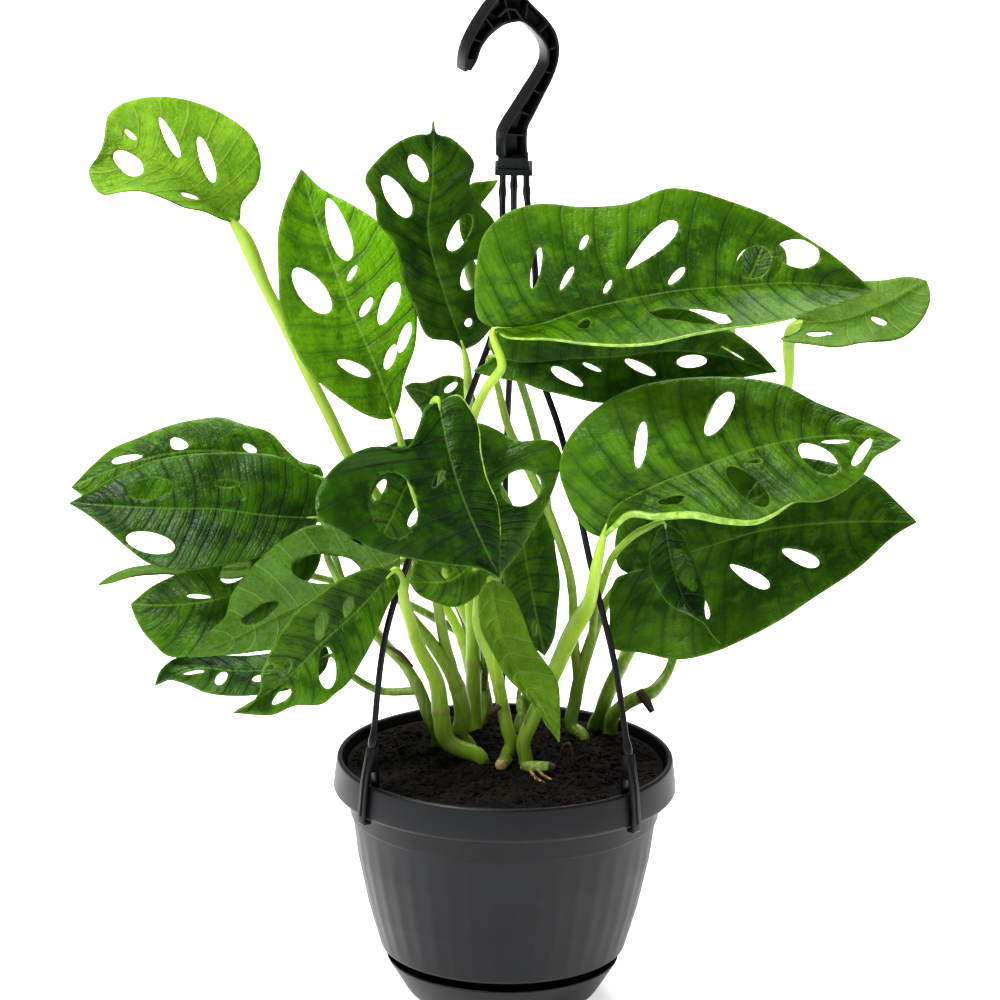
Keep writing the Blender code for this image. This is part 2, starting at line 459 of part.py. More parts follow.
def smooth(points, count):
    """Evenly spaced points on a smooth curve through the given ones."""
    points = np.asarray(points, float)
    steps = np.linalg.norm(np.diff(points, axis=0), axis=1)
    at = np.concatenate([[0.0], np.cumsum(steps)])
    slopes = np.gradient(points, at, axis=0)
    fine = []
    for i in range(len(points) - 1):
        t = np.linspace(0, 1, 24, endpoint=False)[:, None]
        span = at[i + 1] - at[i]
        fine.append(
            (2 * t**3 - 3 * t**2 + 1) * points[i]
            + (t**3 - 2 * t**2 + t) * span * slopes[i]
            + (3 * t**2 - 2 * t**3) * points[i + 1]
            + (t**3 - t**2) * span * slopes[i + 1]
        )
    fine = np.concatenate(fine + [points[-1:]])
    along = np.concatenate([[0.0], np.cumsum(np.linalg.norm(np.diff(fine, axis=0), axis=1))])
    wanted = np.linspace(0, along[-1], count)
    return np.stack([np.interp(wanted, along, fine[:, k]) for k in range(fine.shape[1])], -1)


def material(name, colour, roughness):
    made = bpy.data.materials.new(name)
    made.use_nodes = True
    shader = made.node_tree.nodes["Principled BSDF"]
    shader.inputs["Base Color"].default_value = (*colour, 1.0)
    shader.inputs["Roughness"].default_value = roughness
    return made


def add_object(name, points, faces, colour="leaf", roughness=0.5, helper=False):
    """A mesh object from points in millimetres."""
    mesh = bpy.data.meshes.new(name)
    mesh.from_pydata([Vector(mm(np.asarray(p, float))) for p in points], [], faces)
    mesh.update()
    obj = bpy.data.objects.new(name, mesh)
    bpy.context.scene.collection.objects.link(obj)
    if helper:
        obj.hide_render = True
        obj.display_type = "WIRE"
    else:
        mesh.materials.append(material(name, COLOURS[colour], roughness))
    return obj


def outward(obj):
    work = bmesh.new()
    work.from_mesh(obj.data)
    bmesh.ops.recalc_face_normals(work, faces=work.faces)
    work.to_mesh(obj.data)
    work.free()
    return obj


def boolean(obj, other, operation):
    modifier = obj.modifiers.new(operation.lower() + "_" + other.name, "BOOLEAN")
    modifier.operation = operation
    modifier.solver = "EXACT"
    modifier.object = other
    return modifier


def revolve(name, profile, sides, colour, roughness, flutes=None):
    """A solid turned from a closed profile of (radius, z) that starts and ends on the axis."""
    points, rings = [], []
    for radius, z in profile:
        if radius == 0:
            rings.append([len(points)])
            points.append((0, 0, z))
            continue
        ring = []
        for i in range(sides):
            angle = 2 * pi * i / sides
            fluted = flutes and flutes[0] < z < flutes[1] and radius > flutes[2](z)
            sunk = FLUTE_DEPTH * (i % 2) if fluted else 0
            ring.append(len(points))
            points.append(((radius - sunk) * cos(angle), (radius - sunk) * sin(angle), z))
        rings.append(ring)
    faces = []
    for low, high in zip(rings, rings[1:]):
        for i in range(sides):
            j = (i + 1) % sides
            if len(low) == 1:
                faces.append((low[0], high[j], high[i]))
            elif len(high) == 1:
                faces.append((low[i], low[j], high[0]))
            else:
                faces.append((low[i], low[j], high[j], high[i]))
    return outward(add_object(name, points, faces, colour, roughness))


def tube(name, path, radii, sides, helper=False, colour="shoot", roughness=0.5):
    """A tube along points in millimetres, with a flat cap on each end."""
    path = [Vector(p) for p in path]
    along = [(b - a).normalized() for a, b in zip(path, path[1:])]
    along = [along[0]] + [(a + b).normalized() for a, b in zip(along, along[1:])] + [along[-1]]
    side = along[0].orthogonal().normalized()
    points, faces = [], []
    for place, way, radius in zip(path, along, radii):
        side = (side - way * side.dot(way)).normalized()
        across = way.cross(side)
        for i in range(sides):
            angle = 2 * pi * i / sides
            points.append(place + (side * cos(angle) + across * sin(angle)) * radius)
    for ring in range(len(path) - 1):
        for i in range(sides):
            j = (i + 1) % sides
            a, b = ring * sides, (ring + 1) * sides
            faces.append((a + i, a + j, b + j, b + i))
    faces.append(tuple(reversed(range(sides))))
    faces.append(tuple(range(len(points) - sides, len(points))))
    return outward(add_object(name, points, faces, colour, roughness, helper))


def box(name, low, high, helper=True, colour="pot", roughness=0.4):
    corners = [(x, y, z) for x in (low[0], high[0]) for y in (low[1], high[1]) for z in (low[2], high[2])]
    faces = [(0, 1, 3, 2), (4, 6, 7, 5), (0, 4, 5, 1), (2, 3, 7, 6), (0, 2, 6, 4), (1, 5, 7, 3)]
    return outward(add_object(name, corners, faces, colour, roughness, helper))


class Blade:
    """One leaf blade: places given by the share along the rib and the share out to a margin."""

    SAMPLES = 81

    def __init__(self, leaf):
        self.leaf = leaf
        rib = leaf["rib"]
        self.rib = smooth(rib, self.SAMPLES)
        self.sides = [smooth([rib[0]] + leaf[k] + [rib[-1]], self.SAMPLES) for k in ("left", "right")]
        self.shares = np.linspace(0, 1, self.SAMPLES)
        rib_way = self.place(self.shares, np.zeros(self.SAMPLES))
        self.length = np.linalg.norm(np.diff(rib_way, axis=0), axis=1).sum()
        self.widths = []
        for sign in (-1.0, 1.0):
            edge = self.place(self.shares, np.full(self.SAMPLES, sign))
            self.widths.append(np.linalg.norm(edge - rib_way, axis=1) + 1e-6)

    def drawn(self, s, t):
        rib = np.stack([np.interp(s, self.shares, self.rib[:, k]) for k in (0, 1)], -1)
        edges = [
            np.stack([np.interp(s, self.shares, side[:, k]) for k in (0, 1)], -1)
            for side in self.sides
        ]
        edge = np.where((np.asarray(t) < 0)[..., None], edges[0], edges[1])
        return rib + (edge - rib) * np.abs(t)[..., None]

    def place(self, s, t):
        """The point in space for the share s along the rib and t out, left below zero."""
        s, t = np.asarray(s, float), np.asarray(t, float)
        leaf = self.leaf
        flat = self.drawn(s, t)
        middle = np.sin(pi * np.clip(s, 0, 1))
        lift = np.where(t < 0, leaf["lift"][0], leaf["lift"][1])
        depth = (
            leaf["depth"]
            + leaf["turn"] * (flat[..., 0] - self.rib[0, 0])
            + leaf["lean"] * (flat[..., 1] - self.rib[0, 1])
            + leaf["bow"] * middle
            + lift * np.abs(t) ** 1.3 * middle**0.6
        )
        return seen(flat[..., 0], flat[..., 1], depth)

    def width(self, s, t):
        wide = np.interp(s, self.shares, self.widths[1])
        return np.where(np.asarray(t) < 0, np.interp(s, self.shares, self.widths[0]), wide)

    def chart(self, s, t):
        """The blade laid flat, which is where it is cut into triangles."""
        s, t = np.asarray(s, float), np.asarray(t, float)
        return np.stack([s * self.length, t * self.width(s, t)], -1)

    def shares_at(self, x, z):
        """Where a place of the front view lies on the blade."""
        s, t = np.meshgrid(np.linspace(0.02, 0.98, 97), np.linspace(-0.96, 0.96, 97), indexing="ij")
        grid = self.drawn(s, t)
        found = np.argmin(((grid - (x, z)) ** 2).sum(-1))
        return s.flat[found], t.flat[found]

    def holes(self, steps):
        """The outline of each hole, kept between the rib and the margin on its own side."""
        outlines = []
        for x, z, length, width, angle, taper in self.leaf["holes"]:
            _, middle = self.shares_at(x, z)
            side = -1.0 if middle < 0 else 1.0
            turned = radians(angle)
            outline = []
            for i in range(steps):
                a = 2 * pi * i / steps
                u = 0.5 * length * cos(a)
                v = 0.5 * width * sin(a) * (1 + taper * cos(a))
                place = (x + u * cos(turned) - v * sin(turned), z + u * sin(turned) + v * cos(turned))
                outline.append(self.shares_at(*place))
            outline = np.array(outline)
            t = side * outline[:, 1]
            low, high = t.min(), t.max()
            share = (t - low) / (high - low)
            outline[:, 1] = side * (max(low, 0.1) + share * (min(high, 0.88) - max(low, 0.1)))
            outlines.append(outline)
        return outlines


def inside(outline, point):
    hit = False
    for (x1, y1), (x2, y2) in zip(outline, np.roll(outline, -1, axis=0)):
        if (y1 > point[1]) != (y2 > point[1]):
            hit ^= point[0] < (x2 - x1) * (point[1] - y1) / (y2 - y1) + x1
    return hit


def blade_mesh(blade, margin_steps, hole_steps, rows, thickness):
    """The blade as a closed shell, with both faces cut into the same triangles."""
    around = np.linspace(0, 1, margin_steps + 1)
    ring = [(0.0, 0.0)] + [(s, -1.0) for s in around[1:-1]] + [(1.0, 0.0)]
    ring += [(s, 1.0) for s in around[-2:0:-1]]
    shares = list(ring)
    loops = [list(range(len(ring)))]
    for outline in blade.holes(hole_steps):
        loops.append(list(range(len(shares), len(shares) + len(outline))))
        shares += [tuple(p) for p in outline]
    flat_loops = [blade.chart(*np.array([shares[i] for i in loop]).T) for loop in loops]
    rib = []
    for s in np.linspace(0, 1, rows + 2)[1:-1]:
        rib.append(len(shares))
        shares.append((s, 0.0))
        for t in (-0.5, 0.5):
            place = blade.chart(s, t)
            if not any(inside(loop, place) for loop in flat_loops[1:]):
                shares.append((s, t))
    flat = blade.chart(*np.array(shares).T)
    edges = [(a, b) for loop in loops for a, b in zip(loop, loop[1:] + loop[:1])]
    spine = [0] + rib + [margin_steps]
    edges += list(zip(spine, spine[1:]))
    points, _, faces, origin, _, _ = delaunay_2d_cdt([Vector(p) for p in flat], edges, [], 0, 1e-5)
    kept = []
    for face in faces:
        middle = np.mean([points[i] for i in face], axis=0)
        if inside(flat_loops[0], middle) and not any(inside(loop, middle) for loop in flat_loops[1:]):
            kept.append(tuple(face))
    known = {}
    for i, sources in enumerate(origin):
        if sources:
            known[i] = shares[sources[0]]
        else:
            s = points[i][0] / blade.length
            known[i] = (s, points[i][1] / float(blade.width(s, points[i][1])))
    used = sorted({i for face in kept for i in face})
    renumber = {old: new for new, old in enumerate(used)}
    kept = [tuple(renumber[i] for i in face) for face in kept]
    shares = np.array([known[i] for i in used])
    middle = blade.place(shares[:, 0], shares[:, 1])
    normals = np.zeros_like(middle)
    for a, b, c in kept:
        normal = np.cross(middle[b] - middle[a], middle[c] - middle[a])
        for i in (a, b, c):
            normals[i] += normal
    normals /= np.linalg.norm(normals, axis=1)[:, None] + 1e-12
    count = len(middle)
    both = np.concatenate([middle + normals * thickness / 2, middle - normals * thickness / 2])
    sided = {(a, b) for face in kept for a, b in zip(face, face[1:] + face[:1])}
    shell = kept + [tuple(i + count for i in reversed(face)) for face in kept]
    for a, b in sorted(sided):
        if (b, a) not in sided:
            shell += [(b, a, a + count), (b, a + count, b + count)]
    return both, shell


def clear_scene():
    for obj in list(bpy.data.objects):
        bpy.data.objects.remove(obj)


def make_pot():
    body = [(61.5, FLOOR_Z + 1.5), (68.0, 48.0), (73.6, 74.0), (76.0, BODY_Z - 1.5)]
    profile = [(0, FLOOR_Z), (FOOT_RADIUS - 2.5, FLOOR_Z), (FOOT_RADIUS - 2.5, SAUCER_FLOOR + 0.3),
               (FOOT_RADIUS, SAUCER_FLOOR + 0.3), (52.0, FLOOR_Z - 1.0), (59.5, FLOOR_Z)]
    profile += body
    profile += [(76.2, BODY_Z), (77.2, BODY_Z + 0.6), (77.2, 106.4), (84.6, 106.8),
                (COLLAR_RADIUS, 108.3), (84.0, 122.9), (RIM_RADIUS, RIM_Z), (81.7, RIM_Z),
                (INNER_RIM_RADIUS, 123.2), (79.6, 110.0), (75.3, 104.5), (74.3, 92.0),
                (71.8, 74.0), (66.3, 48.0), (59.8, 27.8), (58.4, FLOOR_TOP), (0, FLOOR_TOP)]
    flutes = (FLOOR_Z + 2, BODY_Z - 1, lambda z: FLOOR_OUTER_RADIUS + (z - FLOOR_Z) * WALL_SLOPE)
    pot = revolve("pot", profile, POT_SIDES, "pot", 0.42, flutes)
    for i in range(DRAINS):
        a = 2 * pi * (i + 0.5) / DRAINS
        x, y = DRAIN_CIRCLE * cos(a), DRAIN_CIRCLE * sin(a)
        path = [(x, y, FLOOR_Z - 3), (x, y, FLOOR_TOP + 3)]
        cutter = tube(f"cut_drain_{i}", path, [DRAIN_RADIUS] * 2, 12, True)
        boolean(pot, cutter, "DIFFERENCE")


def make_saucer():
    profile = [(0, 0), (SAUCER_BASE, 0), (46.6, 0.9), (48.6, 3.2), (SAUCER_TOP, 18.9),
               (58.2, SAUCER_Z), (57.2, SAUCER_Z), (56.7, 18.9), (47.4, 4.2),
               (46.7, SAUCER_FLOOR), (0, SAUCER_FLOOR)]
    revolve("saucer", profile, SAUCER_SIDES, "pot", 0.42)


def soil_height(x, y):
    r = min(1.0, (x * x + y * y) ** 0.5 / SOIL_EDGE_RADIUS)
    bumps = sin(x * 0.19 + 1.0) * cos(y * 0.23) + 0.6 * sin(x * 0.37 - y * 0.31)
    return SOIL_Z - (SOIL_Z - SOIL_EDGE_Z) * r**4 + 1.0 * bumps * (1 - r**6)


def make_soil(feet):
    profile = [(0, FLOOR_TOP + 0.3), (57.6, FLOOR_TOP + 0.3), (59.1, 28.6), (65.7, 48.1),
               (71.2, 74.1), (73.7, 92.1), (74.7, 104.8), (SOIL_EDGE_RADIUS, 110.4),
               (SOIL_EDGE_RADIUS, SOIL_EDGE_Z)]
    profile += [(r, SOIL_Z) for r in (64.0, 46.0, 27.0, 0)]
    soil = revolve("soil", profile, SOIL_SIDES, "soil", 0.95)
    for vertex in soil.data.vertices:
        x, y, z = (1000 * c for c in vertex.co)
        if z > SOIL_EDGE_Z - 0.5:
            vertex.co.z = mm(soil_height(x, y))
    for i, (x, y, radius) in enumerate(feet):
        cutter = tube(f"cut_soil_{i}", [(x, y, HOLE_FLOOR_Z), (x, y, 130)], [radius + FOOT_GAP] * 2, 10, True)
        boolean(soil, cutter, "DIFFERENCE")


def hook_rings():
    """The channel's cross-sections. It is filled at its tip, and its back stands further left."""
    points = []
    stations = smooth(HOOK, STATIONS)
    for number, row in enumerate(stations):
        o, i = row[:2], row[2:]
        way = (i - o) / np.linalg.norm(i - o)
        o2, i2 = o + way * HOOK_WALL, i - way * HOOK_WALL
        web = HOOK_HALF_DEPTH - HOOK_WALL if number > 1 else 0.6 - HOOK_HALF_DEPTH
        for (x, z), y in ((o, -HOOK_HALF_DEPTH), (o, HOOK_HALF_DEPTH), (i, HOOK_HALF_DEPTH),
                          (i, -HOOK_HALF_DEPTH), (i2, -HOOK_HALF_DEPTH), (i2, web), (o2, web),
                          (o2, -HOOK_HALF_DEPTH)):
            step = HOOK_SIDE_STEP * (y + HOOK_HALF_DEPTH) / (2 * HOOK_HALF_DEPTH)
            points.append((x - step, y, z))
    return points


def make_hook():
    points, faces = hook_rings(), []
    for ring in range(STATIONS - 1):
        for k in range(8):
            a, b = ring * 8, (ring + 1) * 8
            faces.append((a + k, a + (k + 1) % 8, b + (k + 1) % 8, b + k))
    last = len(points) - 8
    for start in (0, last):
        faces += [(start, start + 1, start + 6, start + 7), (start + 1, start + 2, start + 5, start + 6),
                  (start + 2, start + 3, start + 4, start + 5)]
    hook = outward(add_object("hook", points, faces, "pot", 0.4))
    flange = box("join_hook_flange", (-8.8, -8.6, SOCKET_Z[0]), (9.4, 11.0, SOCKET_Z[1]))
    boolean(hook, flange, "UNION")
    block = box("join_hook_block", (-7.4, -7.0, SOCKET_Z[0] + 0.01), (7.4, 6.4, SOCKET_Z[2]))
    boolean(hook, block, "UNION")
    for side, path in RODS.items():
        x, y = seen(*path[0])[:2]
        hole = tube(f"cut_socket_{side}", [(x, y, SOCKET_Z[0] - 2), (x, y, SOCKET_Z[0] + SOCKET_DEPTH)],
                    [ROD_RADIUS + 0.35] * 2, 10, True)
        boolean(hook, hole, "DIFFERENCE")


def clip_profile():
    """The clip across the rim: a barb under the collar, an outer leg, an arch and an inner leg."""
    face = CLIP_FACE_RADIUS
    return [(83.4, 104.4), (83.4, 106.1), (face, 106.3), (face, 109.0), (84.5, 124.6), (83.4, 131.0),
            (81.0, 131.0), (80.4, 124.8), (80.1, 121.6), (78.5, 121.6), (78.7, 132.0), (79.8, CLIP_TOP_Z),
            (83.2, CLIP_TOP_Z), (86.6, 127.0), (88.4, 109.0), (88.4, 105.2), (87.6, 104.4)]


def make_rod(side):
    """A rod from its socket to the rim, with the clip that holds the rim."""
    path = [seen(*row) for row in RODS[side]]
    head, neck = path[0].copy(), path[0].copy()
    head[2] = SOCKET_Z[0] + SOCKET_DEPTH - 0.35
    neck[2] = SOCKET_Z[0] - 4
    angle = radians(CLIP_ANGLES[side])
    out = np.array([cos(angle), sin(angle), 0.0])
    across = np.array([-sin(angle), cos(angle), 0.0])
    seat = out * 81.5 + np.array([0, 0, CLIP_TOP_Z - 2])
    route = smooth([head, neck] + path[1:] + [seat], 20)
    rod = tube(f"rod_{side}", route, [ROD_RADIUS] * len(route), 8, colour="pot", roughness=0.4)
    profile = clip_profile()
    points = [out * r + across * w + np.array([0, 0, z])
              for w in (-CLIP_WIDTH / 2, CLIP_WIDTH / 2) for r, z in profile]
    count = len(profile)
    faces = [tuple(range(count)), tuple(reversed(range(count, 2 * count)))]
    faces += [(i, (i + 1) % count, (i + 1) % count + count, i + count) for i in range(count)]
    clip = outward(add_object(f"join_clip_{side}", points, faces, helper=True))
    boolean(rod, clip, "UNION")


def stem_route(points):
    """The route and radii of one stem, from a foot in the soil or a fork up to a leaf."""
    rows = []
    for point in points:
        if point[0] == "foot":
            rows.append([point[1], point[2], SOIL_Z + 3, points[1][3]])
        elif point[0] == "leaf":
            leaf = LEAVES[point[1]]
            base = Blade(leaf).place(np.array([0.0]), np.array([0.0]))[0]
            way = base - rows[-1][:3]
            way /= np.linalg.norm(way)
            rows.append([*(base - way * STALK_TAPER), point[2]])
            gap = CLOSE_STALK_GAP if point[1] in CLOSE_STALKS else STALK_GAP
            rows.append([*(base - way * gap), STALK_END])
        else:
            rows.append([*seen(*point[:3]), point[3]])
    fine = smooth(rows, max(6, int(len(rows) * 1.35)))
    if points[0][0] == "foot":
        foot = fine[0].copy()
        foot[2] = HOLE_FLOOR_Z + 0.4
        fine = np.concatenate([[foot], fine])
    return fine[:, :3], fine[:, 3]


def make_shoot(name, tubes):
    for i, points in enumerate(tubes):
        route, radii = stem_route(points)
        if i == 0:
            shoot = tube(name, route, radii, 6)
        else:
            branch = tube(f"join_{name}_{i}", route, radii, 6, True)
            boolean(shoot, branch, "UNION")


def make_leaf(name, leaf):
    points, faces = blade_mesh(Blade(leaf), 11, 7, 4, BLADE_THICKNESS)
    add_object(name, points, faces, "pale" if "pale" in name else "leaf", 0.45)


clear_scene()
make_pot()
make_saucer()
make_soil([(t[0][1], t[0][2], t[1][3]) for tubes in SHOOTS.values() for t in tubes if t[0][0] == "foot"])
make_hook()
for rod_side in RODS:
    make_rod(rod_side)
for shoot_name, shoot_tubes in SHOOTS.items():
    make_shoot(shoot_name, shoot_tubes)
for leaf_name, leaf_drawing in LEAVES.items():
    make_leaf(leaf_name, leaf_drawing)
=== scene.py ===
# %% [markdown]
# A monstera adansonii in its hanging pot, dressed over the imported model.
#
# Shapes are drawn in millimetres and become metres in one place, mm(). The camera, the lamps and
# the depth of a bump are in metres. The leaves and stems are drawn the way they are seen from the
# front, on the upright plane through the pot's axis, and then slid along their sight lines to
# their own depth, exactly as the solids were made.

from math import cos, pi, radians, sin

import bmesh
import bpy
import numpy as np
from mathutils import Matrix, Vector, noise
from mathutils.geometry import delaunay_2d_cdt


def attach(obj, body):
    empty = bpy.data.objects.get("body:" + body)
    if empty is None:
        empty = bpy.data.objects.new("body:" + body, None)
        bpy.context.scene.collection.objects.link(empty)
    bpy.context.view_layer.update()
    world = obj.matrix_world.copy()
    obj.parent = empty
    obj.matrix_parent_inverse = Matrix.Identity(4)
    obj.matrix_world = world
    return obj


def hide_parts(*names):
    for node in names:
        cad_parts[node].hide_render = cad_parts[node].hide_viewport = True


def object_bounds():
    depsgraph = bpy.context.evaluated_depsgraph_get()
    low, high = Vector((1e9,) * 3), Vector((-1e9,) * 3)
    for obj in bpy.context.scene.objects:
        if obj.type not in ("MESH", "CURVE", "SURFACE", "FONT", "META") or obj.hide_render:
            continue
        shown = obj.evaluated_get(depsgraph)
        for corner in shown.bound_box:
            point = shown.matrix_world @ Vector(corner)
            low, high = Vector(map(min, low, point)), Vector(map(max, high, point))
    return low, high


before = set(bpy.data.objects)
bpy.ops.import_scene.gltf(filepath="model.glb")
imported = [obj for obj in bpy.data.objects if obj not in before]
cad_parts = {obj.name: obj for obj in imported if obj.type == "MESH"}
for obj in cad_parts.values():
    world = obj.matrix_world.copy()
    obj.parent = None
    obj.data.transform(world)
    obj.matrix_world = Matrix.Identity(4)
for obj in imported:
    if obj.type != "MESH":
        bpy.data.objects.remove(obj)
cad_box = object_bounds()
print("nodes in the frame:", len(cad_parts))

# %% [markdown]
# The camera stands where the photo was taken: 3 m away, 16 degrees above level, on the -Y side.
# It could be aimed with a Track To constraint. Its axes are written out instead, because the photo
# also leans a little to one side. Its place is where all sight lines of the drawings meet.

# %% Camera
ELEVATION = radians(16.311)
ROLL = radians(0.757)
AIM = Vector((-0.00423, 0.0, 0.2566))
DISTANCE = 3.0
LENS = 218.67
EYE = np.array([-4.0, -2879.0, 1099.0])


def make_camera():
    back = Vector((0, -cos(ELEVATION), sin(ELEVATION)))
    right = Vector((1, 0, 0))
    up = right.cross(-back)
    across = right * cos(ROLL) + up * sin(ROLL)
    upright = up * cos(ROLL) - right * sin(ROLL)
    data = bpy.data.cameras.new("camera")
    data.lens = LENS
    data.sensor_width = 36.0
    data.clip_end = 50.0
    camera = bpy.data.objects.new("camera", data)
    turn = Matrix((across, upright, back)).transposed().to_4x4()
    camera.matrix_world = Matrix.Translation(AIM + back * DISTANCE) @ turn
    bpy.context.scene.collection.objects.link(camera)
    bpy.context.scene.camera = camera


make_camera()
print("camera at:", [round(v, 3) for v in bpy.context.scene.camera.matrix_world.translation])

# %% [markdown]
# The leaves. Sculpting each one would be slow, and a single leaf copied many times would look like
# plastic, so every leaf has its own drawing. It has its rib from the stalk to the tip and its two
# margins, then its depth behind the pot's axis, the slopes turn and lean, how far each margin lies
# behind the rib, and the bow of the rib. A hole has its place, length, width, angle and taper.

